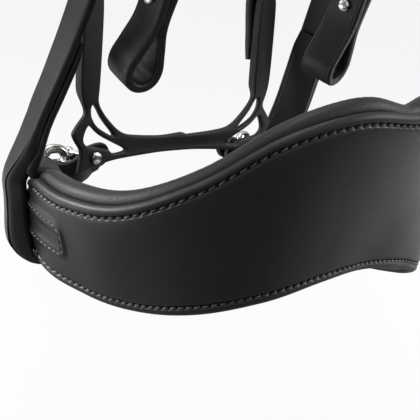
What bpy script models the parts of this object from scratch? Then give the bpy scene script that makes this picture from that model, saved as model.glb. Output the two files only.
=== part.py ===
# Horse show bridle, hung from its headpiece, with a wide wave shaped padded crank noseband.
# Metres, Z up. The origin is under the middle of the crown pad, where a hook or hand holds it.
# The nose points toward -Y. The left straps are drawn first and the right ones are their mirror.
import bpy
import bmesh
from math import sin, cos, pi, radians, sqrt
from mathutils import Vector

# Clearances and general leather sizes.
gap = 0.0003
strap_thickness = 0.0030
strap_width = 0.0135
edge_share = 0.24

# Crown and the hanging height.
crown_half_width = 0.053
crown_rise = 0.045
crown_drop = 0.425
side_drop = crown_drop - crown_rise
nose_setback = 0.070
strap_spacing = 0.021
crown_leather = 0.0034
crown_width = 2 * strap_spacing + strap_width + 0.0005
crown_reach = 0.100
billet_overlap = 0.013
pad_thickness = 0.0060
pad_width = 0.062
pad_reach = 0.080

# Buckles.
frame_wire = 0.0011
frame_length = 0.0130
frame_tilt = radians(15)
frame_side_room = 0.0008
frame_corner = 0.0028
tongue_wire = 0.0008
tongue_play = 0.0002
tongue_slot_width = 0.0027
billet_tail = 0.046
fold_leather = 0.0020
keeper_length = 0.0080
keeper_leather = 0.0016
keeper_room = 0.0004
first_keeper = 0.0125
second_keeper = 0.0270
cheek_buckle_height = 0.235
jowl_buckle_height = 0.200
hanger_buckle_height = 0.165
lap_length = 0.034
hole_spacing = 0.0200
hole_radius = 0.0014

# Noseband, drawn level in its own frame and then tilted about X.
noseband_tilt = radians(8)
noseband_radius = 0.075
noseband_turn = radians(122.23)
noseband_reach = noseband_radius * noseband_turn
wave_drop = 0.0360
face_depth = 0.0481
face_leather = 0.0030
face_edge = 0.0035
stitch_groove = 0.00035
face_bulge = 0.0010
tuck_in = 0.0157
bead_radius = 0.0040
bead_rise = 0.0025
bead_nose_share = 0.12
bead_full_at = 0.017
padding_thickness = 0.0060
end_thinning = 0.30
thinning_from = noseband_reach - 0.020
thinning_to = noseband_reach - 0.0085
tab_width = 0.0120
tab_leather = 0.0018
tab_start = noseband_reach - 0.0315
tab_emboss = 0.0008
# Height of the upper stitch line below its middle, every 25 mm, as shares of the wave drop.
upper_line_shares = (0.0, -0.013, 0.211, 0.649, 0.946, 0.994, 0.930, 0.875)
# Height of the lower stitch line below the same point, as shares of the face depth.
lower_line_shares = (1.0, 1.033, 1.140, 1.262, 1.328, 1.306, 1.196, 0.900)
# How far the lower line lies inside the upper one, as shares of the tuck in.
tuck_shares = (1.0, 0.81, 0.52, 0.50, 0.65, 0.58, 0.23, 0.0)
share_step = noseband_reach / 6.4

# Hanger loop round each end of the noseband.
loop_at = noseband_reach - 0.0008
loop_width_share = 0.84
loop_room = 0.0008
loop_stand = 0.0019
loop_belly = 0.0005
loop_thick_share = 1.6

# Crank hardware.
ring_wire = 0.0017
ring_inner_height = 0.0245
ring_lift = 0.0052
ring_corner = 0.0030
roller_wall = 0.0008
roller_play = 0.0003
leg_strap_width = 0.0088
roller_side_room = 0.0003
leg_strap_leather = 0.0022
stud_post = 0.0010
stud_head = 0.0022
stud_ball = 0.0019
ring_span = 0.00756
ring_lean = radians(19.6)
tab_lead = 0.0057
tab_turn_in = 0.0011
tab_fall = 0.0013
# From the ring to the stud: across, forward and up.
stud_across_step = 0.0050
stud_forward_step = 0.0088
stud_up_step = 0.0173

# Jaw plate, cut from one flat piece of firm leather.
plate_thickness = 0.0040
# Outline of one half, from the lower middle outward and back along the top: across, height.
plate_outline_shares = (
    (0.0, -0.498), (0.16, -0.498), (0.40, -0.512), (0.64, -0.530), (0.84, -0.574), (0.965, -0.625),
    (0.955, -0.585), (0.935, -0.45), (0.985, -0.395), (1.03, -0.33), (0.976, -0.258), (0.912, -0.192),
    (0.946, -0.118), (0.980, 0.0), (0.984, 0.60), (0.960, 0.66), (0.840, 0.66), (0.806, 0.60), (0.800, 0.0),
    (0.812, -0.112), (0.742, -0.204), (0.624, -0.306), (0.530, -0.352), (0.344, -0.369), (0.156, -0.378))
plate_bump_shares = ((0.09, -0.380), (0.05, -0.362), (0.0, -0.366))
plate_slot_shares = (
    (0.868, -0.212), (0.816, -0.280), (0.732, -0.326), (0.648, -0.362), (0.652, -0.338), (0.764, -0.236),
    (0.830, -0.138), (0.858, -0.124), (0.874, -0.150))
plate_triangle_shares = (
    (0.878, -0.264), (0.784, -0.344), (0.648, -0.404), (0.526, -0.454), (0.520, -0.472), (0.646, -0.488),
    (0.686, -0.448), (0.872, -0.430), (0.920, -0.396), (0.930, -0.360), (0.908, -0.298))
stud_across_share = 0.81
stud_drop_share = 0.504

# Browband.
browband_width = 0.024
browband_height = 0.345
browband_reach = 0.172

leather_colour = (0.018, 0.017, 0.018, 1)
lining_colour = (0.030, 0.028, 0.028, 1)
metal_colour = (0.62, 0.62, 0.63, 1)

for old in list(bpy.data.objects):
    bpy.data.objects.remove(old, do_unlink=True)

parts = bpy.data.collections.new("horse_show_bridle")
cutters = bpy.data.collections.new("cutters")
bpy.context.scene.collection.children.link(parts)
bpy.context.scene.collection.children.link(cutters)


def material_for(name, colour, rough, metal):
    made = bpy.data.materials.new(name)
    made.use_nodes = True
    shader = made.node_tree.nodes["Principled BSDF"]
    shader.inputs["Base Color"].default_value = colour
    shader.inputs["Roughness"].default_value = rough
    shader.inputs["Metallic"].default_value = metal
    return made


def finish(made, name, kind, cutter=False):
    made.name = name
    group = cutters if cutter else parts
    group.objects.link(made)
    if cutter:
        made.hide_render = True
        made.display_type = "WIRE"
        return made
    colour, rough, metal = {"leather": (leather_colour, 0.45, 0.0), "lining": (lining_colour, 0.6, 0.0),
                            "metal": (metal_colour, 0.25, 1.0)}[kind]
    made.data.materials.append(material_for(name + "_surface", colour, rough, metal))
    return made


def mirror(point, flip):
    return Vector((-point.x if flip else point.x, point.y, point.z))


def solid(name, mesh, kind, origin=None, flip=False, cutter=False):
    base = mirror(origin, flip) if origin is not None else Vector((0, 0, 0))
    for vert in mesh.verts:
        vert.co = mirror(vert.co, flip) - base
    bmesh.ops.recalc_face_normals(mesh, faces=mesh.faces)
    data = bpy.data.meshes.new(name)
    mesh.to_mesh(data)
    mesh.free()
    made = bpy.data.objects.new(name, data)
    made.location = base
    return finish(made, name, kind, cutter)


def wire(name, points, radius, kind, origin, flip=False, closed=True, shares=None):
    base = mirror(origin, flip)
    data = bpy.data.curves.new(name, "CURVE")
    data.dimensions = "3D"
    data.bevel_depth = radius
    data.bevel_resolution = 2
    data.use_fill_caps = True
    line = data.splines.new("POLY")
    line.points.add(len(points) - 1)
    for i, point in enumerate(points):
        line.points[i].co = (*(mirror(point, flip) - base), 1)
        line.points[i].radius = shares[i] if shares else 1.0
    line.use_cyclic_u = closed
    made = bpy.data.objects.new(name, data)
    made.location = base
    return finish(made, name, kind)


def skin(mesh, rings, closed=False):
    # Joins section outlines of equal length into one closed body.
    rows = [[mesh.verts.new(point) for point in ring] for ring in rings]
    count = len(rows[0])
    pairs = list(zip(rows[:-1], rows[1:]))
    if closed:
        pairs.append((rows[-1], rows[0]))
    for one, two in pairs:
        for i in range(count):
            j = (i + 1) % count
            mesh.faces.new((one[i], one[j], two[j], two[i]))
    if not closed:
        mesh.faces.new(rows[0])
        mesh.faces.new(list(reversed(rows[-1])))


class Line:
    # A smooth curve through control points, with an outward direction at each of them.
    def __init__(self, points, outs, steps=10):
        self.spots, self.outs, self.lengths = [], [], [0.0]
        last = len(points) - 1
        for i in range(last):
            a = points[max(i - 1, 0)] if i else points[0] * 2 - points[1]
            b, c = points[i], points[i + 1]
            d = points[i + 2] if i + 2 <= last else points[last] * 2 - points[last - 1]
            for k in range(steps + (1 if i == last - 1 else 0)):
                t = k / steps
                spot = 0.5 * (2 * b + (c - a) * t + (2 * a - 5 * b + 4 * c - d) * t * t
                              + (3 * b - a - 3 * c + d) * t * t * t)
                self.spots.append(spot)
                self.outs.append(outs[i].lerp(outs[i + 1], t))
        for one, two in zip(self.spots[:-1], self.spots[1:]):
            self.lengths.append(self.lengths[-1] + (two - one).length)

    def length(self):
        return self.lengths[-1]

    def spot(self, s):
        last = len(self.lengths) - 1
        i = 0
        while i < last - 1 and self.lengths[i + 1] < s:
            i += 1
        share = (s - self.lengths[i]) / (self.lengths[i + 1] - self.lengths[i])
        place = self.spots[i] + (self.spots[i + 1] - self.spots[i]) * share
        out = self.outs[i].lerp(self.outs[i + 1], min(max(share, 0), 1))
        return place, out

    def at(self, s):
        reach = 0.003
        place, out = self.spot(s)
        along = (self.spot(s + reach)[0] - self.spot(s - reach)[0]).normalized()
        out = (out - along * out.dot(along)).normalized()
        return place, along, out, along.cross(out)

    def lowered_to(self, height):
        # Distance along the line at which it has come down to this height.
        for i in range(1, len(self.spots)):
            if self.spots[i].z <= height:
                above, below = self.spots[i - 1].z, self.spots[i].z
                share = (above - height) / (above - below)
                return self.lengths[i - 1] + share * (self.lengths[i] - self.lengths[i - 1])
        return self.lengths[-1]


def strap_rings(line, path, width, thickness):
    # Path rows are distance, offset outward, width share, thickness share.
    rows = [(row + (1.0, 1.0))[:4] if len(row) < 4 else row for row in path]
    places = []
    for s, off, wide, thick in rows:
        place, along, out, across = line.at(s)
        places.append((place + out * off, across, wide, thick))
    rings = []
    for i, (place, across, wide, thick) in enumerate(places):
        before = places[max(i - 1, 0)][0]
        after = places[min(i + 1, len(places) - 1)][0]
        along = (after - before).normalized()
        side = (across - along * across.dot(along)).normalized()
        up = side.cross(along)
        half, deep = width * wide / 2, thickness * thick / 2
        cut = min(edge_share * thickness * thick, half * 0.5)
        outline = ((half - cut, deep), (half, deep - cut), (half, cut - deep), (half - cut, -deep),
                   (cut - half, -deep), (-half, cut - deep), (-half, deep - cut), (cut - half, deep))
        rings.append([place + side * x + up * y for x, y in outline])
    return rings


def strap(name, line, path, width, thickness, flip=False, kind="leather"):
    mesh = bmesh.new()
    skin(mesh, strap_rings(line, path, width, thickness))
    return solid(name, mesh, kind, flip=flip)


def block(mesh, place, one, two, three, low, high):
    # A box between two corner offsets along three directions.
    corners = []
    for z in (low[2], high[2]):
        for x, y in ((low[0], low[1]), (high[0], low[1]), (high[0], high[1]), (low[0], high[1])):
            corners.append(place + one * x + two * y + three * z)
    skin(mesh, (corners[:4], corners[4:]))


def peg(mesh, place, axis, side, radius, length, stretch=1.0, count=12):
    # A round or oval prism along an axis, for punched holes.
    other = axis.cross(side)
    rings = []
    for end in (-length / 2, length / 2):
        rings.append([place + axis * end + side * (radius * stretch * cos(2 * pi * k / count))
                      + other * (radius * sin(2 * pi * k / count)) for k in range(count)])
    skin(mesh, rings)


def cut(target, name, mesh, flip=False, mode="DIFFERENCE"):
    tool = solid(name, mesh, "", flip=flip, cutter=True)
    step = target.modifiers.new(name, "BOOLEAN")
    step.operation = mode
    step.solver = "EXACT"
    step.object = tool
    return tool


def turned(name, profile, place, axis, side, kind, flip=False, count=12):
    # A body of revolution, from rows of radius and distance along the axis.
    other = axis.cross(side)
    mesh = bmesh.new()
    rings = [[place + axis * z + side * (r * cos(2 * pi * k / count)) + other * (r * sin(2 * pi * k / count))
              for k in range(count)] for r, z in profile]
    skin(mesh, rings)
    return solid(name, mesh, kind, origin=place, flip=flip)


def tube(name, place, axis, side, inner, outer, length, kind, flip=False, count=12):
    other = axis.cross(side)
    mesh = bmesh.new()
    rings = [[place + axis * z + side * (r * cos(2 * pi * k / count)) + other * (r * sin(2 * pi * k / count))
              for k in range(count)]
             for r, z in ((inner, -length / 2), (outer, -length / 2), (outer, length / 2), (inner, length / 2))]
    skin(mesh, rings, closed=True)
    return solid(name, mesh, kind, origin=place, flip=flip)


def rounded_frame(centre, one, two, half_one, half_two, corner, turns=3):
    # Points round a rectangle with rounded corners.
    points = []
    for sx, sy, start in ((1, 1, 0), (-1, 1, 1), (-1, -1, 2), (1, -1, 3)):
        for k in range(turns + 1):
            angle = (start + k / turns) * pi / 2
            x = sx * (half_one - corner) + corner * cos(angle)
            y = sy * (half_two - corner) + corner * sin(angle)
            points.append(centre + one * x + two * y)
    return points


# Layer offsets that every buckle shares.
fold_turn = frame_wire + gap + fold_leather / 2
laid_off = strap_thickness / 2 + gap / 2
billet_over = laid_off + strap_thickness + gap
billet_crest = fold_turn + fold_leather / 2 + gap + strap_thickness / 2
far_rise = frame_length * sin(frame_tilt)
billet_entry = far_rise - frame_wire - gap - strap_thickness / 2
keeper_low = -laid_off - strap_thickness / 2 - keeper_room
keeper_high = billet_over + strap_thickness / 2 + keeper_room


def lower_fold(hinge):
    # Strap path that starts inside, climbs to the buckle, folds round its bar and comes down outside.
    skived = fold_leather / strap_thickness
    path = [(hinge + lap_length, -laid_off, 0.86, 0.45), (hinge + lap_length - 0.004, -laid_off),
            (hinge + 0.011, -laid_off), (hinge + 0.005, -laid_off * 1.05, 1.0, (1 + skived) / 2)]
    for k in range(7):
        angle = pi / 6 * k
        path.append((hinge - fold_turn * sin(angle), -fold_turn * cos(angle), 1.0, skived))
    path += [(hinge + 0.005, laid_off * 1.05, 1.0, (1 + skived) / 2), (hinge + 0.011, laid_off)]
    return path


def billet_path(hinge, first):
    # From above, under the far bar, over the hinge bar and down to the point.
    rows = [(first, 0.0), (hinge - 0.040, 0.0), (hinge - 0.024, billet_entry * 0.6), (hinge - 0.0155, billet_entry),
            (hinge - 0.0115, billet_entry * 1.1 + 0.0003), (hinge - 0.0075, (billet_entry + billet_crest) * 0.47),
            (hinge - 0.0035, billet_crest * 0.90), (hinge, billet_crest), (hinge + 0.004, billet_crest),
            (hinge + 0.0085, billet_over), (hinge + billet_tail - 0.006, billet_over),
            (hinge + billet_tail - 0.003, billet_over, 0.80, 1.0), (hinge + billet_tail - 0.0008, billet_over, 0.42, 0.9),
            (hinge + billet_tail, billet_over, 0.22, 0.7)]
    return rows


def buckle(name, line, hinge, flip):
    place, along, out, across = line.at(hinge)
    away = along * -cos(frame_tilt) + out * sin(frame_tilt)
    half = strap_width / 2 + frame_side_room + frame_wire
    centre = place + away * (frame_length / 2)
    ring = rounded_frame(centre, away, across, frame_length / 2, half, frame_corner)
    wire(name + "_frame", ring, frame_wire, "metal", place, flip)
    turn = frame_wire + tongue_play + tongue_wire
    points, shares = [], []
    for k in range(9):
        angle = radians(235 - 285 / 8 * k)
        points.append(place + along * (turn * sin(angle)) + out * (turn * cos(angle)))
        shares.append(1.0)
    rest = far_rise + frame_wire + gap + tongue_wire
    reach = frame_length * cos(frame_tilt)
    for x, y, share in ((0.0030, 0.0022, 1.0), (0.0046, 0.0042, 1.0), (0.0064, rest * 0.99, 0.98),
                        (0.0090, rest * 1.03, 0.92), (reach, rest, 0.86), (reach + 0.0017, rest - 0.0003, 0.75)):
        points.append(place - along * x + out * y)
        shares.append(share)
    wire(name + "_tongue", points, tongue_wire, "metal", place, flip, closed=False, shares=shares)


def fold_slot(mesh, line, hinge):
    place, along, out, across = line.at(hinge)
    turn = fold_turn + fold_leather
    block(mesh, place, along, across, out, (-turn - 0.001, -tongue_slot_width / 2, -turn),
          (turn * 0.95, tongue_slot_width / 2, turn))


def billet_holes(mesh, line, hinge):
    place, along, out, across = line.at(hinge)
    lean = (along * 0.93 + out * 0.36).normalized()
    normal = lean.cross(across)
    peg(mesh, place - along * 0.0046 + out * 0.0034, normal, lean, tongue_slot_width / 2, 0.007, 2.35)
    for step in (-2, -1, 1):
        there, along, out, across = line.at(hinge - 0.0046 + step * hole_spacing)
        off = billet_over if step > 0 else 0.0
        peg(mesh, there + out * off, out, along, hole_radius, 0.009, count=10)


def keeper(name, line, spot, flip, low=keeper_low, high=keeper_high, width=strap_width):
    place, along, out, across = line.at(spot)
    half = width / 2 + keeper_room
    turns = []
    corner = 0.0010
    middle = place + out * ((low + high) / 2)
    tall = (high - low) / 2
    inner = rounded_frame(middle, across, out, half, tall, corner, 2)
    outer = rounded_frame(middle, across, out, half + keeper_leather, tall + keeper_leather,
                          corner + keeper_leather, 2)
    for near, far in zip(inner, outer):
        turns.append([near - along * keeper_length / 2, far - along * keeper_length / 2,
                      far + along * keeper_length / 2, near + along * keeper_length / 2])
    mesh = bmesh.new()
    skin(mesh, turns, closed=True)
    return solid(name, mesh, "leather", origin=middle, flip=flip)


# Frames of reference. Strap points are given level with the middle of the noseband's stitch line.
crown_under = crown_leather / 2 + gap + pad_thickness


def hung(x, y, z):
    return Vector((x, y - nose_setback, z - crown_drop + crown_under))


def nose(point):
    x, y, z = point
    c, s = cos(noseband_tilt), sin(noseband_tilt)
    return hung(x, y * c + z * s, z * c - y * s)


def from_nose(point):
    # The same place in the noseband's own level frame.
    y, z = point.y + nose_setback, point.z + crown_drop - crown_under
    c, s = cos(noseband_tilt), sin(noseband_tilt)
    return Vector((point.x, y * c - z * s, z * c + y * s))


def nose_turn(direction):
    x, y, z = direction
    c, s = cos(noseband_tilt), sin(noseband_tilt)
    return Vector((x, y * c + z * s, z * c - y * s))


# The noseband's stitch lines.
def eased(shares, s):
    place = min(abs(s) / share_step, len(shares) - 1.001)
    i = int(place)
    t = place - i
    a = shares[i - 1] if i else shares[1]
    b, c = shares[i], shares[i + 1]
    d = shares[i + 2] if i + 2 < len(shares) else 2 * c - b
    return 0.5 * (2 * b + (c - a) * t + (2 * a - 5 * b + 4 * c - d) * t * t + (3 * b - a - 3 * c + d) * t * t * t)


def band_frame(s):
    turn = s / noseband_radius
    outward = Vector((sin(turn), -cos(turn), 0))
    along = Vector((cos(turn), sin(turn), 0))
    top = Vector((noseband_radius * sin(turn), noseband_radius * (1 - cos(turn)),
                  -wave_drop * eased(upper_line_shares, s)))
    low = Vector((top.x, top.y, -face_depth * eased(lower_line_shares, s)))
    low -= outward * (tuck_in * eased(tuck_shares, s))
    down = (low - top).normalized()
    out = (outward - down * outward.dot(down)).normalized()
    return top, (low - top).length, along, down, out


def band_point(s, a, b):
    top, deep, along, down, out = band_frame(s)
    return nose(top + down * a + out * b)


def ramp(value, low, high):
    t = min(max((value - low) / (high - low), 0), 1)
    return t * t * (3 - 2 * t)


def tab_middle(deep):
    return deep * 0.46


face_stations = 41
tab_room = 2 * tab_leather + 2 * gap


def face_section(s):
    deep = band_frame(s)[1]
    e, t = face_edge, face_leather
    shut = ramp(abs(s), tab_start - 0.022, tab_start)
    lift = tab_emboss * ramp(abs(s), tab_start - 0.004, tab_start + 0.001)
    half = tab_width / 2
    wide = [0.18 * deep, 0.34 * deep, 0.5 * deep, 0.66 * deep, 0.82 * deep]
    tight = [tab_middle(deep) + x for x in (-half - 0.0016, -half + 0.0002, 0, half - 0.0002, half + 0.0016)]
    swell = (0.65, 0.92, 1.0, 0.92, 0.65)
    rows = [(-e + 0.0005, -t), (-e, -t + 0.0009), (-e, -0.0010), (-e + 0.0010, 0.0001), (-0.0013, 0.0001),
            (0, -stitch_groove), (0.0014, 0.0)]
    for k in range(5):
        a = wide[k] + (tight[k] - wide[k]) * shut
        rows.append((a, face_bulge * swell[k] * (1 - 0.75 * shut) + (lift if 0 < k < 4 else 0)))
    rows += [(deep - 0.0014, 0.0), (deep, -stitch_groove), (deep + 0.0013, 0.0001), (deep + e - 0.0010, 0.0001),
             (deep + e, -0.0010), (deep + e, -t + 0.0009), (deep + e - 0.0005, -t), (deep * 0.5, -t)]
    return [band_point(s, a, b) for a, b in rows]


def padding_section(s):
    deep = band_frame(s)[1]
    e, t = face_edge, face_leather + gap
    thin = 1 - end_thinning * ramp(abs(s), thinning_from, thinning_to)
    inward = -t - padding_thickness * thin
    shut = ramp(abs(s), tab_start - 0.007, tab_start - 0.001)
    near_nose = bead_nose_share + (1 - bead_nose_share) * ramp(abs(s), -bead_full_at / 4, bead_full_at)
    r = bead_radius * thin * (0.8 + 0.2 * near_nose)
    ca, cb = r - e - bead_rise * near_nose, -t - r
    rows = []
    for k in range(7):
        angle = radians(-15 + 38 * k)
        rows.append((ca - r * sin(angle), cb + r * cos(angle)))
    middle, half = tab_middle(deep), tab_width / 2 + 0.0006
    extra = 0.0009 * shut
    rows += [(ca + 0.0052, inward - 0.0006 - extra), (deep * 0.5, inward - 0.0010 - extra),
             (deep + e - 0.0040, inward + 0.0004), (deep + e - 0.0012, inward + 0.0020),
             (deep + e - 0.0004, inward + 0.0035), (deep + e - 0.0013, -t - 0.0003), (deep + e - 0.0026, -t)]
    room = tab_room * shut
    rows += [(middle + half + 0.0009, -t), (middle + half, -t - room), (middle - half, -t - room),
             (middle - half - 0.0009, -t)]
    return [band_point(s, a, b) for a, b in rows]


def band_stations():
    step = 2 * noseband_reach / (face_stations - 1)
    return [-noseband_reach + step * k for k in range(face_stations)]


mesh = bmesh.new()
skin(mesh, [face_section(s) for s in band_stations()])
solid("noseband_face", mesh, "leather")
mesh = bmesh.new()
skin(mesh, [padding_section(s) for s in band_stations()])
solid("noseband_padding", mesh, "lining")

# Crown: an arch over the poll, split into three billets on each side.
side_out = Vector((-1, 0, 0))


def crown_points(y, first=0):
    spots, outs = [], []
    for k in range(first, 5):
        angle = k * pi / 8
        spots.append(hung(-crown_half_width * sin(angle), y, side_drop + crown_rise * cos(angle)))
        outs.append(Vector((-sin(angle) * crown_rise, 0, cos(angle) * crown_half_width)).normalized())
    return spots, outs


def strap_line(y_top, rows, ends=()):
    spots, outs = crown_points(y_top)
    for x, y, z, out in rows:
        spots.append(hung(x, y, z))
        outs.append(Vector(out).normalized())
    for spot, out in ends:
        spots.append(spot)
        outs.append(out)
    return Line(spots, outs)


hanger_y = nose_setback
cheek_y = hanger_y - strap_spacing
jowl_y = hanger_y + strap_spacing
top, deep_end, along_end, down_end, out_end = band_frame(-loop_at)
loop_middle = -(face_leather + gap + padding_thickness) / 2
loop_out = nose_turn(out_end)
loop_spots = [(band_point(-loop_at, a, loop_middle), loop_out)
                      for a in (-0.004, 0.003, deep_end / 2, deep_end, deep_end + 0.010)]
hanger_line = strap_line(hanger_y, (
    (-crown_half_width, hanger_y + 0.0015, 0.300, (-1, 0, 0)), (-crown_half_width - 0.0005, hanger_y + 0.003, 0.235, (-1, 0, 0)),
    (-0.0550, hanger_y + 0.006, 0.150, (-1, 0, 0)), (-0.0575, hanger_y + 0.014, 0.080, (-1, 0.08, 0)),
    (-0.0608, hanger_y + 0.0245, 0.022, (-0.97, 0.20, 0)), (-0.0632, hanger_y + 0.0330, -0.019, (-0.92, 0.38, 0))),
    loop_spots)
cheek_line = strap_line(cheek_y, (
    (-crown_half_width, cheek_y + 0.0005, 0.300, (-1, 0, 0)), (-crown_half_width + 0.0005, cheek_y + 0.0015, 0.235, (-1, 0, 0)),
    (-0.0508, cheek_y + 0.006, 0.150, (-1, 0, 0)), (-0.0498, cheek_y + 0.014, 0.080, (-1, 0.05, 0)),
    (-0.0494, cheek_y + 0.026, 0.022, (-1, 0.15, 0)), (-0.0496, cheek_y + 0.033, -0.008, (-1, 0.2, 0))))

# The crank chain: tab from the noseband's end, ring in its fold, then the leg strap, stud and jaw plate.
tab_depth = -(face_leather + gap + tab_leather + gap / 2)
tab_spots, tab_outs = [], []
for s in (tab_start + 0.0005, tab_start + 0.0075, tab_start + 0.0155, tab_start + 0.0235, noseband_reach):
    tab_spots.append(band_point(-s, tab_middle(band_frame(s)[1]), tab_depth))
    tab_outs.append(nose_turn(band_frame(-s)[4]))
tab_ahead = nose_turn((-cos(noseband_turn), sin(noseband_turn), 0))
tab_inward = nose_turn((sin(noseband_turn), cos(noseband_turn), 0))
tab_end = tab_spots[-1] + nose_turn((0, 0, -tab_fall))
tab_spots += [tab_end + tab_ahead * tab_lead, tab_end + tab_ahead * tab_lead * 2 + tab_inward * tab_turn_in]
tab_outs += [(tab_ahead * 0.09 - tab_inward).normalized(), (tab_ahead * 0.20 - tab_inward).normalized()]
tab_line = Line(tab_spots, tab_outs)
ring_at = tab_line.length() - 0.0020
outer_bar = tab_line.at(ring_at)[0]
outer_spot = from_nose(outer_bar)
inner_spot = outer_spot + Vector((cos(ring_lean), -sin(ring_lean), 0)) * ring_span
stud_spot = inner_spot + Vector((stud_across_step, -stud_forward_step, stud_up_step))
plate_setback = stud_spot.y
plate_reach = -stud_spot.x / stud_across_share
plate_middle = stud_spot.z + stud_drop_share * plate_reach
plate_back = plate_setback + plate_thickness / 2
jowl_lap = plate_back + gap + strap_thickness / 2
arm_across = plate_reach * 0.892
jowl_line = strap_line(jowl_y, (
    (-crown_half_width, jowl_y + 0.001, 0.300, (-1, 0, 0)), (-crown_half_width + 0.0005, jowl_y + 0.003, 0.235, (-1, 0, 0)),
    (-0.0510, jowl_y + 0.008, 0.150, (-1, 0.05, 0)), (-0.0490, jowl_y + 0.0155, 0.100, (-0.82, 0.55, 0)),
    (-0.0465, jowl_y + 0.0220, 0.060, (-0.35, 0.93, 0))),
    [(nose((-arm_across, jowl_lap, z)), nose_turn((0, 1, 0))) for z in (plate_middle + plate_reach * x for x in (0.80, 0.48, 0.16))])

cheek_hinge = cheek_line.lowered_to(hung(0, 0, cheek_buckle_height).z)
jowl_hinge = jowl_line.lowered_to(hung(0, 0, jowl_buckle_height).z)
hanger_hinge = hanger_line.lowered_to(hung(0, 0, hanger_buckle_height).z)

crown_spots, crown_outs = crown_points(hanger_y)
crown_spots.append(hung(-crown_half_width, hanger_y, side_drop - 0.030))
crown_outs.append(side_out)
full_spots = [mirror(p, True) for p in reversed(crown_spots[1:])] + crown_spots
full_outs = [mirror(p, True) for p in reversed(crown_outs[1:])] + crown_outs
crown_line = Line(full_spots, full_outs)
crown_mid = crown_line.length() / 2
crown_path = [(crown_mid + crown_reach * (k / 14 - 1), 0.0) for k in range(29)]
headpiece = strap("headpiece", crown_line, crown_path, crown_width, crown_leather)

mesh = bmesh.new()
for flip in (False, True):
    for line, hinge in ((cheek_line, cheek_hinge), (hanger_line, hanger_hinge), (jowl_line, jowl_hinge)):
        rows = billet_path(hinge, crown_reach - billet_overlap)
        rows.insert(1, (crown_reach + 0.012, 0.0))
        rings = strap_rings(line, rows, strap_width, strap_thickness)
        skin(mesh, [[mirror(p, flip) for p in ring] for ring in rings])
cut(headpiece, "headpiece_billets", mesh, mode="UNION")
mesh = bmesh.new()
for flip in (False, True):
    part_mesh = bmesh.new()
    for line, hinge in ((cheek_line, cheek_hinge), (hanger_line, hanger_hinge), (jowl_line, jowl_hinge)):
        billet_holes(part_mesh, line, hinge)
    for vert in part_mesh.verts:
        vert.co = mirror(vert.co, flip)
    scratch = bpy.data.meshes.new("scratch")
    part_mesh.to_mesh(scratch)
    part_mesh.free()
    mesh.from_mesh(scratch)
    bpy.data.meshes.remove(scratch)
cut(headpiece, "headpiece_holes", mesh)

pad_path = []
for k in range(21):
    share = k / 10 - 1
    squash = sqrt(max(1 - abs(share) ** 6, 0.06))
    pad_path.append((crown_mid + pad_reach * share, 0.0, 0.88 + 0.12 * squash, squash))


def pad_rings(line, path, width, thickness, off_top):
    rings = []
    for s, off, wide, thick in path:
        place, along, out, across = line.at(s)
        deep = thickness * thick
        ring = []
        for x, y in ((-0.42, 0), (0.42, 0), (0.485, -0.18), (0.5, -0.5), (0.47, -0.82), (0.36, -0.97), (0.16, -0.90),
                     (0.05, -0.68), (-0.05, -0.68), (-0.16, -0.90), (-0.36, -0.97), (-0.47, -0.82), (-0.5, -0.5),
                     (-0.485, -0.18)):
            ring.append(place + across * (width * wide * x) + out * (off_top + deep * y))
        rings.append(ring)
    return rings


mesh = bmesh.new()
skin(mesh, pad_rings(crown_line, pad_path, pad_width, pad_thickness, -crown_leather / 2 - gap))
solid("headpiece_padding", mesh, "lining")

# Browband: one strip bowed forward, its ends turned back round the three billets and sewn.
brow_z = hung(0, 0, browband_height).z
turn_clear = strap_thickness / 2 + 0.0006 + strap_thickness / 2
brow_front = cheek_y - strap_width / 2 - 0.004
brow_back = jowl_y + strap_width / 2 + 0.0036 + strap_thickness / 2


def plan(x, y):
    return Vector((x, y - nose_setback, brow_z))


half = []
half.append(plan(-crown_half_width + turn_clear - 0.0005, brow_front - 0.0160))
half.append(plan(-crown_half_width + turn_clear, brow_front - 0.004))
half.append(plan(-crown_half_width + turn_clear, brow_front + 0.008))
half.append(plan(-crown_half_width + turn_clear, hanger_y))
half.append(plan(-crown_half_width + turn_clear, brow_back - 0.004))
for k in range(1, 6):
    angle = pi * k / 6
    half.append(plan(-crown_half_width + turn_clear * cos(angle), brow_back - 0.004 + turn_clear * sin(angle)))
half.append(plan(-crown_half_width - turn_clear, brow_back - 0.004))
half.append(plan(-crown_half_width - turn_clear, hanger_y))
half.append(plan(-crown_half_width - turn_clear, brow_front + 0.008))
half.append(plan(-crown_half_width - turn_clear * 0.95, brow_front - 0.004))
lap_out = Vector((-crown_half_width + turn_clear - strap_thickness - gap * 2, 0, 0)).x
half.append(plan(lap_out - 0.0006, brow_front - 0.0160))
front_y = brow_front - 0.016 - (browband_reach - 0.030)
for k in range(1, 8):
    angle = pi / 2 * k / 7
    half.append(plan((lap_out - 0.0006) * cos(angle), brow_front - 0.016 + (front_y - brow_front + 0.016) * sin(angle)))
whole = half + [mirror(p, True) for p in reversed(half[:-1])]


def flat_loop(points, width, thickness, shares):
    rings = []
    up = Vector((0, 0, 1))
    for i, place in enumerate(points):
        before, after = points[max(i - 1, 0)], points[min(i + 1, len(points) - 1)]
        along = (after - before).normalized()
        out = along.cross(up).normalized()
        tall, deep = width / 2 * shares[i], thickness / 2
        cutback = edge_share * thickness
        outline = ((tall - cutback, deep), (tall, deep - cutback), (tall, cutback - deep), (tall - cutback, -deep),
                   (cutback - tall, -deep), (-tall, cutback - deep), (-tall, deep - cutback), (cutback - tall, deep))
        rings.append([place + up * x + out * y for x, y in outline])
    return rings


widths = [0.72 if i < len(half) - 8 else 0.72 + 0.28 * min((i - len(half) + 8) / 3, 1) for i in range(len(half))]
widths = widths + list(reversed(widths[:-1]))
mesh = bmesh.new()
skin(mesh, flat_loop(whole, browband_width, strap_thickness, widths))
solid("browband", mesh, "leather")

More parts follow.
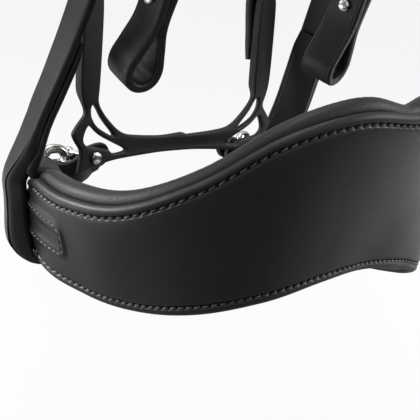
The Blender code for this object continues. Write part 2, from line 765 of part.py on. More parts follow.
# The straps, buckles and keepers of each side.
loop_s = hanger_line.length() - deep_end - 0.010
outer_off = -loop_middle + loop_stand + strap_thickness / 2
thin_padding = padding_thickness * (1 - end_thinning)
inner_off = face_leather + thin_padding + 0.0022 + loop_middle + loop_room + strap_thickness / 2
bead_off = inner_off
loop_front = loop_at - strap_width * loop_width_share / 2
bottom = loop_s + band_frame(-loop_front)[1]
for flip, tag in ((False, "_left"), (True, "_right")):
    # Cheekpiece: buckle fold above, bit loop below.
    end = cheek_line.length() - 0.0075
    bit_turn = 0.0055
    rows = lower_fold(cheek_hinge)
    rows += [(cheek_hinge + 0.050, laid_off), (cheek_hinge + 0.090, laid_off), (cheek_hinge + 0.130, laid_off),
             (end - 0.060, laid_off), (end - 0.030, laid_off), (end - 0.015, laid_off), (end - 0.007, bit_turn * 0.72)]
    for k in range(7):
        angle = pi / 6 * k
        rows.append((end + bit_turn * sin(angle), bit_turn * cos(angle)))
    rows += [(end - 0.007, -bit_turn * 0.72), (end - 0.015, -laid_off), (end - 0.030, -laid_off),
             (end - 0.044, -laid_off), (end - 0.048, -laid_off, 0.86, 0.5)]
    made = strap("cheekpiece" + tag, cheek_line, rows, strap_width, strap_thickness, flip)
    mesh = bmesh.new()
    fold_slot(mesh, cheek_line, cheek_hinge)
    place, along, out, across = cheek_line.at(end - 0.024)
    peg(mesh, place, out, along, stud_post + gap, 0.012)
    cut(made, "cheekpiece_cuts" + tag, mesh, flip)
    top_face = laid_off + strap_thickness / 2 + gap
    turned("hook_stud" + tag, (
        (stud_post * 0.3, -top_face - 0.0012), (stud_head, -top_face - 0.0010), (stud_head, -top_face),
        (stud_post, -top_face), (stud_post, top_face), (stud_head, top_face), (stud_head, top_face + 0.0006),
        (stud_head * 0.5, top_face + 0.0013)), place, out, along, "metal", flip)
    buckle("cheek_buckle" + tag, cheek_line, cheek_hinge, flip)
    keeper("cheek_keeper" + tag, cheek_line, cheek_hinge + first_keeper, flip)
    keeper("cheek_runner" + tag, cheek_line, cheek_hinge + second_keeper, flip)

    # Noseband hanger: buckle fold above, closed loop round the noseband's end below.
    w, d = loop_width_share, loop_thick_share
    rows = lower_fold(hanger_hinge)
    rows += [(hanger_hinge + 0.045, laid_off), (loop_s - 0.105, laid_off), (loop_s - 0.075, laid_off),
             (loop_s - 0.050, laid_off), (loop_s - 0.036, laid_off * 1.4), (loop_s - 0.022, outer_off * 0.50),
             (loop_s - 0.012, outer_off * 0.78, 0.94, 1.1), (loop_s - 0.006, outer_off * 0.97, w, 1.3),
             (loop_s - 0.001, outer_off * 1.04, w, d), (loop_s + 0.006, outer_off + loop_belly * 0.8, w, d),
             (loop_s + deep_end / 2, outer_off + loop_belly, w, d), (bottom - 0.003, outer_off + loop_belly * 0.5, w, d),
             (bottom + 0.0012, outer_off * 0.96, w, 1.4), (bottom + 0.0041, outer_off * 0.76, w, 1.2),
             (bottom + 0.0055, outer_off * 0.45, w), (bottom + 0.0059, outer_off * 0.12, w),
             (bottom + 0.0056, -inner_off * 0.34, w), (bottom + 0.0043, -inner_off * 0.78, w),
             (bottom + 0.0006, -inner_off, w), (loop_s + deep_end / 2, -inner_off - 0.0012, w),
             (loop_s + 0.006, -bead_off, w), (loop_s - 0.004, -bead_off, w), (loop_s - 0.010, -bead_off * 0.70, w, 0.9),
             (loop_s - 0.017, 0.0004 - laid_off, 0.94, 0.7), (loop_s - 0.024, 0.0002 - laid_off * 0.4, 1.0, 0.42),
             (loop_s - 0.034, -laid_off * 0.1 - 0.0002, 0.9, 0.3)]
    made = strap("noseband_hanger" + tag, hanger_line, rows, strap_width, strap_thickness, flip)
    mesh = bmesh.new()
    fold_slot(mesh, hanger_line, hanger_hinge)
    cut(made, "hanger_cuts" + tag, mesh, flip)
    buckle("hanger_buckle" + tag, hanger_line, hanger_hinge, flip)
    keeper("hanger_keeper" + tag, hanger_line, hanger_hinge + first_keeper, flip)
    keeper("hanger_runner" + tag, hanger_line, hanger_hinge + second_keeper, flip)

    # Jowl strap: buckle fold above, sewn to the arm of the jaw plate below.
    end = jowl_line.length()
    rows = lower_fold(jowl_hinge)
    rows += [(jowl_hinge + 0.050, laid_off), (end - 0.110, laid_off * 0.6), (end - 0.090, 0.0), (end - 0.070, 0.0),
             (end - 0.052, 0.0), (end - 0.038, 0.0, 0.92, 1.0), (end - 0.026, 0.0, 0.80, 1.0), (end - 0.006, 0.0, 0.72, 1.0),
             (end, 0.0, 0.62, 0.7)]
    made = strap("jowl_strap" + tag, jowl_line, rows, strap_width, strap_thickness, flip)
    mesh = bmesh.new()
    fold_slot(mesh, jowl_line, jowl_hinge)
    cut(made, "jowl_cuts" + tag, mesh, flip)
    buckle("jowl_buckle" + tag, jowl_line, jowl_hinge, flip)
    keeper("jowl_keeper" + tag, jowl_line, jowl_hinge + first_keeper, flip)
    keeper("jowl_runner" + tag, jowl_line, jowl_hinge + second_keeper, flip)

    # Crank tab: two layers sewn between face and padding, folded round the ring behind.
    tab_turn = ring_wire + gap + tab_leather / 2
    tab_off = tab_leather / 2 + gap / 2
    sewn = [tab_line.lengths[10 * k] for k in range(5)]
    rows = [(s, tab_off) for s in sewn]
    rows += [(ring_at - 0.0045, tab_turn * 0.72, 0.94)]
    for k in range(7):
        angle = pi / 6 * k
        rows.append((ring_at + tab_turn * sin(angle), tab_turn * cos(angle), 0.88))
    rows += [(ring_at - 0.0045, -tab_turn * 0.72, 0.94)] + [(s, -tab_off) for s in reversed(sewn)]
    strap("crank_tab" + tag, tab_line, rows, tab_width, tab_leather, flip)

    # Leg strap: sewn and studded behind the plate's leg, folded round the roller.
    leg_line = Line([nose(stud_spot + Vector(step)) for step in (
        (-0.0090, 0.0106, -0.0068), (-0.0050, 0.0088, -0.0068), (-0.0010, 0.0066, -0.0048),
        (0.0035, 0.0056, -0.0020), (0.0095, 0.0054, -0.0006), (0.0165, 0.0054, -0.0002))],
                    [nose_turn((0.45, 0.89, 0)), nose_turn((0.45, 0.89, 0)), nose_turn((0.3, 0.95, 0)),
                     nose_turn((0, 1, 0)), nose_turn((0, 1, 0)), nose_turn((0, 1, 0))])
    bar_s = leg_line.lengths[10]
    bar_spot = leg_line.at(bar_s)[0]
    upright = nose_turn((0, 0, 1))
    reach = bar_spot - outer_bar
    reach -= upright * reach.dot(upright)
    pull = reach.normalized()
    centre = outer_bar + reach * 0.5 + upright * ring_lift
    span = reach.length
    points = rounded_frame(centre, pull, upright, span / 2, ring_inner_height / 2 + ring_wire, ring_corner)
    wire("crank_ring" + tag, points, ring_wire, "metal", outer_bar + upright * ring_lift, flip)
    tube("crank_roller" + tag, bar_spot, upright, pull, ring_wire + roller_play, ring_wire + roller_play + roller_wall,
         leg_strap_width + 2 * roller_side_room, "metal", flip)
    leg_turn = ring_wire + roller_play + roller_wall + gap + leg_strap_leather / 2
    leg_off = leg_strap_leather / 2 + gap / 2
    tail = 0.0205 if not flip else 0.0170
    rows = [(0.0140, -leg_off, 0.8, 0.6), (0.0120, -leg_off), (0.0085, -leg_off * 1.05), (0.0060, -leg_off * 2.0),
            (0.0032, -leg_turn * 0.92)]
    for k in range(1, 8):
        angle = pi / 6 * (k - 1)
        rows.append((-leg_turn * sin(angle), -leg_turn * cos(angle)))
    rows += [(0.0034, leg_turn * 0.97), (0.0062, leg_off * 2.3), (0.0092, leg_off * 1.05), (tail - 0.0045, leg_off),
             (tail - 0.0022, leg_off, 0.80, 1.0), (tail, leg_off, 0.35, 0.8)]
    rows = [(bar_s + row[0], *row[1:]) for row in rows]
    made = strap("leg_strap" + tag, leg_line, rows, leg_strap_width, leg_strap_leather, flip)
    stud_place = nose(stud_spot)
    stud_axis = nose_turn((0, 1, 0))
    mesh = bmesh.new()
    peg(mesh, stud_place + stud_axis * 0.006, stud_axis, upright, stud_post + gap, 0.020)
    cut(made, "leg_strap_hole" + tag, mesh, flip)
    front = -plate_thickness / 2 - gap
    rear = 0.0078 + leg_off + leg_strap_leather / 2 + 0.0007
    turned("stud" + tag, (
        (stud_post * 0.4, front - 0.0010), (stud_head * 0.9, front - 0.0008), (stud_head, front), (stud_post, front),
        (stud_post, rear), (stud_ball * 0.8, rear + 0.0006), (stud_ball, rear + 0.0018), (stud_ball * 0.8, rear + 0.0030),
        (stud_ball * 0.35, rear + 0.0037)), stud_place, stud_axis, upright, "metal", flip)

# Jaw plate: a flat outline with two openings on each side.
data = bpy.data.curves.new("jaw_plate", "CURVE")
data.dimensions = "2D"
data.fill_mode = "BOTH"
data.extrude = plate_thickness / 2


def spline_from(rows):
    line = data.splines.new("POLY")
    line.points.add(len(rows) - 1)
    for i, (x, y) in enumerate(rows):
        line.points[i].co = (x * plate_reach, y * plate_reach, 0, 1)
    line.use_cyclic_u = True


def rounded(rows):
    # Softens a closed outline by cutting every corner twice.
    for _ in range(1):
        soft = []
        for i, (x, y) in enumerate(rows):
            u, v = rows[(i + 1) % len(rows)]
            soft += [(x * 0.78 + u * 0.22, y * 0.78 + v * 0.22), (x * 0.22 + u * 0.78, y * 0.22 + v * 0.78)]
        rows = soft
    return rows


right_half = list(plate_outline_shares)
left_half = [(-x, y) for x, y in reversed(plate_outline_shares[1:])]
spline_from(rounded(right_half + list(plate_bump_shares) + left_half))
for sign in (1, -1):
    for shape in (plate_slot_shares, plate_triangle_shares):
        rows = [(sign * x, y) for x, y in shape]
        spline_from(rounded(rows))
    hole = (stud_post + gap) / plate_reach
    spline_from([(sign * stud_across_share + hole * cos(pi * k / 6),
                  -stud_drop_share + hole * sin(pi * k / 6)) for k in range(12)])
plate = bpy.data.objects.new("jaw_plate", data)
plate.location = nose((0, plate_setback, plate_middle))
plate.rotation_euler = (pi / 2 - noseband_tilt, 0, 0)
finish(plate, "jaw_plate", "leather")
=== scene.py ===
# Horse show bridle: the visible leather, padding, thread and metal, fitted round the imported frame.
# Metres, Z up, the nose toward -Y. The left straps are drawn first and the right ones are their mirror.
import bpy
import bmesh
from math import ceil, cos, exp, hypot, pi, radians, sin, sqrt
from mathutils import Matrix, Vector, noise


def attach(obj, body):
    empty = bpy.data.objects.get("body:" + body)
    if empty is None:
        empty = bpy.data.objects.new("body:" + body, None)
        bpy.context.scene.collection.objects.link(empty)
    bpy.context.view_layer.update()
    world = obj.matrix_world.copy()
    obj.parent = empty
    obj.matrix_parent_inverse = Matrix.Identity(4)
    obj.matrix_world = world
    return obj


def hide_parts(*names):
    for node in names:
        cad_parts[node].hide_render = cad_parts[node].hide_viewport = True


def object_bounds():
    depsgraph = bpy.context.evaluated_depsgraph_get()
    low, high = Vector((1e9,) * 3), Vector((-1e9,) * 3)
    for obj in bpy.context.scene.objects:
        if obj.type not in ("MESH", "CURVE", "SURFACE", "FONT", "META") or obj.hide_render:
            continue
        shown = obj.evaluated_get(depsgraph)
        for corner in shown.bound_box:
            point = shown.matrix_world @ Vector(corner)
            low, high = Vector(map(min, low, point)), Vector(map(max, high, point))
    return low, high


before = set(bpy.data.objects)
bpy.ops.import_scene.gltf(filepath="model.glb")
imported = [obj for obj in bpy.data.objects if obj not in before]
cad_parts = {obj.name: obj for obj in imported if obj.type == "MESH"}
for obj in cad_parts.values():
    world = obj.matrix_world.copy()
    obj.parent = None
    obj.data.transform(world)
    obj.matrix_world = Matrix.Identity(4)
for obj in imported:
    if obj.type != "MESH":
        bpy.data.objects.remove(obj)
cad_low, cad_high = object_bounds()
studio = bpy.context.scene

# Sizes shared with the frame.
gap = 0.0003
strap_thickness = 0.0030
strap_width = 0.0135
crown_half_width = 0.053
crown_rise = 0.045
crown_drop = 0.425
side_drop = crown_drop - crown_rise
nose_setback = 0.070
strap_spacing = 0.021
crown_leather = 0.0034
crown_width = 2 * strap_spacing + strap_width + 0.0005
crown_reach = 0.100
billet_overlap = 0.013
pad_thickness = 0.0060
pad_width = 0.062
pad_reach = 0.080
frame_wire = 0.0011
frame_length = 0.0130
frame_tilt = radians(15)
frame_side_room = 0.0008
frame_corner = 0.0028
tongue_wire = 0.0008
tongue_play = 0.0002
tongue_slot_width = 0.0027
billet_tail = 0.046
used_hole_up = 0.0046
fold_leather = 0.0020
keeper_length = 0.0080
keeper_leather = 0.0016
keeper_room = 0.0004
first_keeper = 0.0125
second_keeper = 0.0270
cheek_buckle_height = 0.235
jowl_buckle_height = 0.200
hanger_buckle_height = 0.165
lap_length = 0.034
hole_spacing = 0.0200
hole_radius = 0.0014
noseband_tilt = radians(8)
noseband_radius = 0.075
noseband_turn = radians(122.23)
noseband_reach = noseband_radius * noseband_turn
wave_drop = 0.0360
face_depth = 0.0481
face_leather = 0.0030
face_edge = 0.0035
stitch_groove = 0.00035
face_bulge = 0.0010
tuck_in = 0.0157
bead_radius = 0.0040
bead_rise = 0.0025
bead_nose_share = 0.12
bead_full_at = 0.017
padding_thickness = 0.0060
end_thinning = 0.30
end_settle = 0.0026
thinning_from = noseband_reach - 0.020
thinning_to = noseband_reach - 0.0085
tab_width = 0.0120
tab_leather = 0.0018
tab_start = noseband_reach - 0.0315
tab_emboss = 0.0008
upper_line_shares = (0.0, -0.013, 0.211, 0.649, 0.946, 0.994, 0.930, 0.875)
lower_line_shares = (1.0, 1.033, 1.140, 1.262, 1.328, 1.306, 1.196, 0.900)
tuck_shares = (1.0, 0.81, 0.52, 0.50, 0.65, 0.58, 0.23, 0.0)
share_step = noseband_reach / 6.4
loop_at = noseband_reach - 0.0008
loop_width_share = 0.84
loop_room = 0.0008
loop_stand = 0.0019
loop_thick_share = 1.6
ring_wire = 0.0017
ring_inner_height = 0.0245
ring_lift = 0.0052
ring_corner = 0.0030
roller_wall = 0.0008
roller_play = 0.0003
leg_strap_width = 0.0088
roller_side_room = 0.0003
leg_strap_leather = 0.0022
leg_strap_tails = (0.0205, 0.0170)
stud_post = 0.0010
stud_head = 0.0022
stud_ball = 0.0019
ring_span = 0.00756
ring_lean = radians(19.6)
tab_lead = 0.0057
tab_turn_in = 0.0011
tab_fall = 0.0013
stud_across_step = 0.0050
stud_forward_step = 0.0088
stud_up_step = 0.0173
plate_thickness = 0.0040
plate_outline_shares = (
    (0.0, -0.498), (0.16, -0.498), (0.40, -0.512), (0.64, -0.530), (0.84, -0.574), (0.965, -0.625),
    (0.955, -0.585), (0.935, -0.45), (0.985, -0.395), (1.03, -0.33), (0.976, -0.258), (0.912, -0.192),
    (0.946, -0.118), (0.980, 0.0), (0.984, 0.60), (0.960, 0.66), (0.840, 0.66), (0.806, 0.60), (0.800, 0.0),
    (0.812, -0.112), (0.742, -0.204), (0.624, -0.306), (0.530, -0.352), (0.344, -0.369), (0.156, -0.378))
plate_bump_shares = ((0.09, -0.380), (0.05, -0.362), (0.0, -0.366))
plate_slot_shares = (
    (0.868, -0.212), (0.816, -0.280), (0.732, -0.326), (0.648, -0.362), (0.652, -0.338), (0.764, -0.236),
    (0.830, -0.138), (0.858, -0.124), (0.874, -0.150))
plate_triangle_shares = (
    (0.878, -0.264), (0.784, -0.344), (0.648, -0.404), (0.526, -0.454), (0.520, -0.472), (0.646, -0.488),
    (0.686, -0.448), (0.872, -0.430), (0.920, -0.396), (0.930, -0.360), (0.908, -0.298))
stud_across_share = 0.81
stud_drop_share = 0.504
browband_width = 0.024
browband_height = 0.345
browband_reach = 0.172

both_sides = ((False, "_left"), (True, "_right"))

# Sizes of the finish alone.
stitch_pitch = 0.0030
strap_pitch = 0.0036
tab_pitch = 0.0026
thread_share = 0.72
thread_radius = 0.00030
hole_depth = 0.00085
hole_length = 0.00056
hole_width = 0.00052
fold_stitch_row = 0.0145
edge_round = 0.0024
crease_depth = 0.00016
line_steps = 10
route_step = 0.0016


# ---- Finishes ----
class Value:
    """A number that changes over a surface. Arithmetic on it adds Math nodes to its finish."""

    def __init__(self, finish, socket):
        self.finish, self.socket = finish, socket

    def math(self, operation, other):
        return self.finish.value("ShaderNodeMath", "Value", dict(operation=operation), {0: self, 1: other})

    def __add__(self, other):
        return self.math("ADD", other)

    def __sub__(self, other):
        return self.math("SUBTRACT", other)

    def __mul__(self, other):
        return self.math("MULTIPLY", other)

    def between(self, low, high):
        # 0 below low, 1 above high and smooth in between.
        return self.finish.value("ShaderNodeMapRange", "Result", dict(interpolation_type="SMOOTHSTEP"),
                                 {"Value": self, "From Min": low, "From Max": high})


class Nodes:
    """The node tree of a material or world, whose nodes are made with their inputs set or linked."""

    def __init__(self, owner, empty=True):
        owner.use_nodes = True
        self.tree = owner.node_tree
        if empty:
            self.tree.nodes.clear()

    def node(self, kind, settings=None, inputs=None):
        made = self.tree.nodes.new(kind)
        for name, value in (settings or {}).items():
            setattr(made, name, value)
        for name, value in (inputs or {}).items():
            self.feed(made.inputs[name], value)
        return made

    def feed(self, socket, value):
        if isinstance(value, Value):
            value = value.socket
        if isinstance(value, bpy.types.NodeSocket):
            self.tree.links.new(value, socket)
        else:
            socket.default_value = value


class Finish(Nodes):
    """A material of one surface, built from the sockets of one shader."""

    def __init__(self, name, **constants):
        self.material = bpy.data.materials.new(name)
        super().__init__(self.material, empty=False)
        self.shader = self.tree.nodes["Principled BSDF"]
        for socket, value in constants.items():
            self.shader.inputs[socket.replace("_", " ")].default_value = value
        self.where = self.node("ShaderNodeTexCoord").outputs["Object"]

    def value(self, kind, output, settings=None, inputs=None):
        return Value(self, self.node(kind, settings, inputs).outputs[output])

    def cloud(self, scale, detail=4.0, roughness=0.55, where=None):
        return self.value("ShaderNodeTexNoise", "Fac", None, {
            "Vector": where or self.where, "Scale": scale, "Detail": detail, "Roughness": roughness})

    def stretched(self, x, y, z):
        return self.node("ShaderNodeMapping", None, {"Vector": self.where, "Scale": (x, y, z)}).outputs["Vector"]

    def mark(self, name):
        return self.value("ShaderNodeAttribute", "Fac", dict(attribute_name=name))

    def blend(self, share, one, two):
        made = self.node("ShaderNodeMix", dict(data_type="RGBA"))
        self.feed(made.inputs["Factor"], share)
        self.feed(made.inputs[6], one)
        self.feed(made.inputs[7], two)
        return made.outputs[2]

    def finish(self, colour, roughness, height, depth):
        self.feed(self.shader.inputs["Base Color"], colour)
        self.feed(self.shader.inputs["Roughness"], roughness)
        bump = self.node("ShaderNodeBump", None, {"Strength": 1.0, "Distance": depth, "Height": height})
        self.feed(self.shader.inputs["Normal"], bump.outputs["Normal"])
        return self.material


def leather(name, dark, pale, worn_edge_and_highlight, rough, grain, depth, gloss, crease=0.5):
    made = Finish(name, Specular_IOR_Level=gloss)
    pores = made.value("ShaderNodeTexVoronoi", "Distance", None, {"Vector": made.where, "Scale": grain})
    hair = made.cloud(grain * 0.45, 5.0, 0.6)
    cloud = made.cloud(34.0, 3.0)
    drawn = made.cloud(70.0, 4.0, 0.6, made.stretched(0.35, 0.35, 2.2))
    folds = (drawn.between(0.56, 0.60) - drawn.between(0.60, 0.68)) * cloud.between(0.45, 0.62)
    edge = made.mark("edge")
    # Cut edges and rounded rims blend toward a brownish colour. It is partly real edge wear and partly a painted warm
    # highlight along the rims.
    wear_and_painted_highlight = edge * made.cloud(150.0, 2.0).between(0.25, 0.85)
    tone = made.blend(cloud.between(0.30, 0.75), dark, pale)
    colour = made.blend(wear_and_painted_highlight * 0.75, tone, worn_edge_and_highlight)
    height = pores.between(0.0, 0.55) * 0.45 + hair * 0.55 - folds * crease
    shine = cloud.between(0.2, 0.8) * 0.10 + hair * 0.08 + edge * 0.07 + (rough - 0.06)
    return made.finish(colour, shine, height, depth)


# The third colour of each leather is its brownish edge colour: real edge wear and also a painted warm highlight on the
# rims.
strap_leather = leather("black_strap_leather", (0.0042, 0.0041, 0.0044, 1), (0.0075, 0.0072, 0.0072, 1),
                        (0.024, 0.021, 0.018, 1), 0.41, 1500.0, 0.00003, 0.42)
band_leather = leather("black_noseband_leather", (0.0028, 0.0030, 0.0036, 1), (0.0050, 0.0051, 0.0058, 1),
                       (0.034, 0.030, 0.025, 1), 0.38, 1700.0, 0.00003, 0.42, 0.9)
plate_leather = leather("black_plate_leather", (0.0042, 0.0042, 0.0046, 1), (0.0080, 0.0076, 0.0076, 1),
                        (0.022, 0.020, 0.018, 1), 0.44, 1500.0, 0.000025, 0.30)


def soft_lining():
    made = Finish("soft_lining_leather", Specular_IOR_Level=0.36, Sheen_Weight=0.05, Sheen_Roughness=0.5)
    pores = made.value("ShaderNodeTexVoronoi", "Distance", None, {"Vector": made.where, "Scale": 900.0})
    hair = made.cloud(520.0, 5.0, 0.62)
    puckers = made.cloud(160.0, 3.0, 0.5, made.stretched(1.0, 1.0, 0.45))
    cloud = made.cloud(40.0)
    colour = made.blend(cloud.between(0.3, 0.75), (0.0120, 0.0110, 0.0100, 1), (0.0230, 0.0205, 0.0185, 1))
    height = pores.between(0.0, 0.6) * 0.35 + hair * 0.35 + puckers * 0.9
    return made.finish(colour, cloud * 0.12 + hair * 0.10 + 0.38, height, 0.00012)


def waxed_thread():
    made = Finish("waxed_thread", Specular_IOR_Level=0.3, Sheen_Weight=0.1)
    fibre = made.cloud(2600.0, 3.0)
    cloud = made.cloud(220.0, 2.0)
    colour = made.blend(cloud.between(0.35, 0.7), (0.105, 0.090, 0.070, 1), (0.200, 0.175, 0.145, 1))
    return made.finish(colour, fibre * 0.2 + 0.50, fibre, 0.00008)


def bright_plate():
    made = Finish("bright_nickel_plate", Metallic=1.0)
    scratches = made.cloud(900.0, 4.0, 0.65, made.stretched(1.0, 1.0, 0.15))
    cloud = made.cloud(120.0, 3.0)
    colour = made.blend(cloud.between(0.3, 0.8), (0.68, 0.67, 0.65, 1), (0.50, 0.49, 0.47, 1))
    return made.finish(colour, scratches * 0.14 + cloud * 0.10 + 0.10, scratches, 0.000012)


lining_leather = soft_lining()
thread = waxed_thread()
nickel = bright_plate()


# ---- Making pieces ----
def added(name, data):
    made = bpy.data.objects.new(name, data)
    studio.collection.objects.link(made)
    return made


def mesh_data(name, mesh):
    data = bpy.data.meshes.new(name)
    mesh.to_mesh(data)
    mesh.free()
    return data


def placed(name, data, material, body, stands_for):
    data.materials.append(material)
    made = added(name, data)
    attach(made, body)
    if stands_for:
        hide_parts(*stands_for)
    return made


def piece(name, mesh, material, body="bridle", stands_for=(), sharp=50):
    bmesh.ops.recalc_face_normals(mesh, faces=mesh.faces)
    data = mesh_data(name, mesh)
    for face in data.polygons:
        face.use_smooth = True
    data.set_sharp_from_angle(angle=radians(sharp))
    return placed(name, data, material, body, stands_for)


def mirror(point, flip):
    return Vector((-point.x if flip else point.x, point.y, point.z))


def flipped(mesh, flip):
    if flip:
        for vert in mesh.verts:
            vert.co.x = -vert.co.x
    return mesh


def skin(mesh, rings, closed=False):
    # Joins section outlines of equal length. Their points are (place, edge mark).
    layer = mesh.verts.layers.float.get("edge") or mesh.verts.layers.float.new("edge")
    rows = []
    for ring in rings:
        row = []
        for point in ring:
            place, mark = point if isinstance(point, tuple) else (point, 0.0)
            vert = mesh.verts.new(place)
            vert[layer] = mark
            row.append(vert)
        rows.append(row)
    pairs = list(zip(rows[:-1], rows[1:]))
    if closed:
        pairs.append((rows[-1], rows[0]))
    for one, two in pairs:
        for i in range(len(one)):
            j = (i + 1) % len(one)
            mesh.faces.new((one[i], one[j], two[j], two[i]))
    if not closed:
        mesh.faces.new(rows[0])
        mesh.faces.new(list(reversed(rows[-1])))


def skinned(rings, closed=False):
    mesh = bmesh.new()
    skin(mesh, rings, closed)
    return mesh


def ramp(value, low, high):
    t = min(max((value - low) / (high - low), 0), 1)
    return t * t * (3 - 2 * t)


def rough(point, scale, seed=0.0):
    return noise.noise(Vector(point) * scale + Vector((seed, 0, 0)))


def between_four(a, b, c, d, t):
    # The place t of the way from b to c on the smooth curve through the four.
    return 0.5 * (2 * b + (c - a) * t + (2 * a - 5 * b + 4 * c - d) * t * t + (3 * b - a - 3 * c + d) * t * t * t)


def lengths_along(points):
    lengths = [0.0]
    for one, two in zip(points[:-1], points[1:]):
        lengths.append(lengths[-1] + (two - one).length)
    return lengths


def found(lengths, s):
    # The step of a line in which the distance s lies, and how far through that step.
    i = 0
    while i < len(lengths) - 2 and lengths[i + 1] < s:
        i += 1
    return i, (s - lengths[i]) / (lengths[i + 1] - lengths[i])


def share_at(shares, at):
    at = min(at, len(shares) - 1.001)
    k = int(at)
    return shares[k] + (shares[k + 1] - shares[k]) * (at - k)


class Line:
    # A smooth curve through control points, with an outward direction at each of them.
    def __init__(self, points, outs, steps=line_steps):
        self.spots, self.outs = [], []
        last = len(points) - 1
        for i in range(last):
            a = points[max(i - 1, 0)] if i else points[0] * 2 - points[1]
            b, c = points[i], points[i + 1]
            d = points[i + 2] if i + 2 <= last else points[last] * 2 - points[last - 1]
            for k in range(steps + (1 if i == last - 1 else 0)):
                self.spots.append(between_four(a, b, c, d, k / steps))
                self.outs.append(outs[i].lerp(outs[i + 1], k / steps))
        self.lengths = lengths_along(self.spots)

    def length(self):
        return self.lengths[-1]

    def spot(self, s):
        i, share = found(self.lengths, s)
        place = self.spots[i] + (self.spots[i + 1] - self.spots[i]) * share
        return place, self.outs[i].lerp(self.outs[i + 1], min(max(share, 0), 1))

    def at(self, s):
        reach = 0.003
        place, out = self.spot(s)
        along = (self.spot(s + reach)[0] - self.spot(s - reach)[0]).normalized()
        out = (out - along * out.dot(along)).normalized()
        return place, along, out, along.cross(out)

    def lowered_to(self, height):
        for i in range(1, len(self.spots)):
            if self.spots[i].z <= height:
                above, below = self.spots[i - 1].z, self.spots[i].z
                share = (above - height) / (above - below)
                return self.lengths[i - 1] + share * (self.lengths[i] - self.lengths[i - 1])
        return self.lengths[-1]


def eased_points(points, count, closed=False):
    # A smooth curve through the points, with count steps between each two.
    last = len(points)
    made = []
    for i in range(last if closed else last - 1):
        b, c = points[i], points[(i + 1) % last]
        a = points[i - 1] if closed or i else b * 2 - c
        d = points[(i + 2) % last] if closed or i + 2 < last else c * 2 - b
        made += [between_four(a, b, c, d, k / count) for k in range(count)]
    if not closed:
        made.append(points[-1])
    return made


def full_row(row):
    return (tuple(row) + (1.0, 1.0))[:4]


class Route:
    # The middle line of a strap in small steps. Each row holds: place, across, width, thickness, along, side, up.
    def __init__(self, line, rows, width, thickness):
        knots = []
        for row in rows:
            s, off, wide, thick = full_row(row)
            place, along, out, across = line.at(s)
            knots.append((place + out * off, across, width * wide, thickness * thick))
        spans = [max((b[0] - a[0]).length, 1e-6) for a, b in zip(knots[:-1], knots[1:])]
        slopes = [(knots[1][0] - knots[0][0]) / spans[0]]
        for i in range(1, len(knots) - 1):
            before, after = spans[i - 1], spans[i]
            slopes.append(((knots[i + 1][0] - knots[i][0]) * (before / after)
                           + (knots[i][0] - knots[i - 1][0]) * (after / before)) / (before + after))
        slopes.append((knots[-1][0] - knots[-2][0]) / spans[-1])
        self.rows = []
        for i, span in enumerate(spans):
            one, two = knots[i], knots[i + 1]
            count = max(3, ceil(span / route_step)) if span > 0.0006 else 2
            for k in range(count + (1 if i == len(spans) - 1 else 0)):
                t = k / count
                place = (one[0] * (2 * t ** 3 - 3 * t * t + 1) + slopes[i] * (span * (t ** 3 - 2 * t * t + t))
                         + two[0] * (3 * t * t - 2 * t ** 3) + slopes[i + 1] * (span * (t ** 3 - t * t)))
                self.rows.append([place, one[1].lerp(two[1], t), one[2] + (two[2] - one[2]) * t,
                                  one[3] + (two[3] - one[3]) * t])
        self.lengths = lengths_along([row[0] for row in self.rows])
        for i, row in enumerate(self.rows):
            before, after = self.rows[max(i - 1, 0)][0], self.rows[min(i + 1, len(self.rows) - 1)][0]
            along = (after - before).normalized()
            side = (row[1] - along * row[1].dot(along)).normalized()
            row += [along, side, side.cross(along)]

    def at(self, s):
        # Place, along, side, up, width and thickness at a distance from the start.
        i, t = found(self.lengths, s)
        one, two = self.rows[i], self.rows[i + 1]
        return [one[k] + (two[k] - one[k]) * t for k in (0, 4, 5, 6, 2, 3)]

    def nearest(self, place):
        # Distance along the route of its first point nearest to a place.
        best = min(range(len(self.rows)), key=lambda i: (self.rows[i][0] - place).length)
        return self.lengths[best]

    def length(self):
        return self.lengths[-1]


def strap_outline(half, deep, crease):
    # Rounded cut edges, a creased line beside each and a slightly full middle.
    r = min(deep * 0.66, half * 0.5)
    inset, lip = min(0.0013, half * 0.30), min(0.00034, half * 0.08)
    points = []

    def corner(x, y, start):
        for k in range(5):
            angle = radians(start + 22.5 * k)
            points.append((x + r * cos(angle), y + r * sin(angle), 1.0 if k in (1, 2, 3) else 0.75))

    corner(half - r, deep - r, 0)
    middle = (half - inset - lip * 2.2)
    top = [(half - inset + lip, 0.0, 0.35), (half - inset, -crease, 0.25), (half - inset - lip, 0.0, 0.12)]
    points += [(x, deep + y, mark) for x, y, mark in top]
    for share in (1.0, 0.72, 0.4, 0.0, -0.4, -0.72, -1.0):
        points.append((middle * share, deep + 0.00007 * (1 - share * share), 0.0))
    points += [(-x, deep + y, mark) for x, y, mark in reversed(top)]
    corner(-half + r, deep - r, 90)
    corner(-half + r, -deep + r, 180)
    for share in (-0.8, -0.3, 0.3, 0.8):
        points.append((half * share * 0.9, -deep, 0.0))
    corner(half - r, -deep + r, 270)
    return points


def strap_rings(route, crease):
    rings = []
    for place, _, width, thickness, _, side, up in route.rows:
        waver = 0.00006 * rough(place, 90.0)
        outline = strap_outline(width / 2, thickness / 2, crease)
        rings.append([(place + side * x + up * (y + waver), mark) for x, y, mark in outline])
    return rings


def strap_mesh(line, rows, width, thickness, crease=crease_depth):
    route = Route(line, rows, width, thickness)
    return skinned(strap_rings(route, crease)), route


def circle(place, one, two, radius, count):
    turns = [2 * pi * k / count for k in range(count)]
    return [place + one * (radius * cos(turn)) + two * (radius * sin(turn)) for turn in turns]


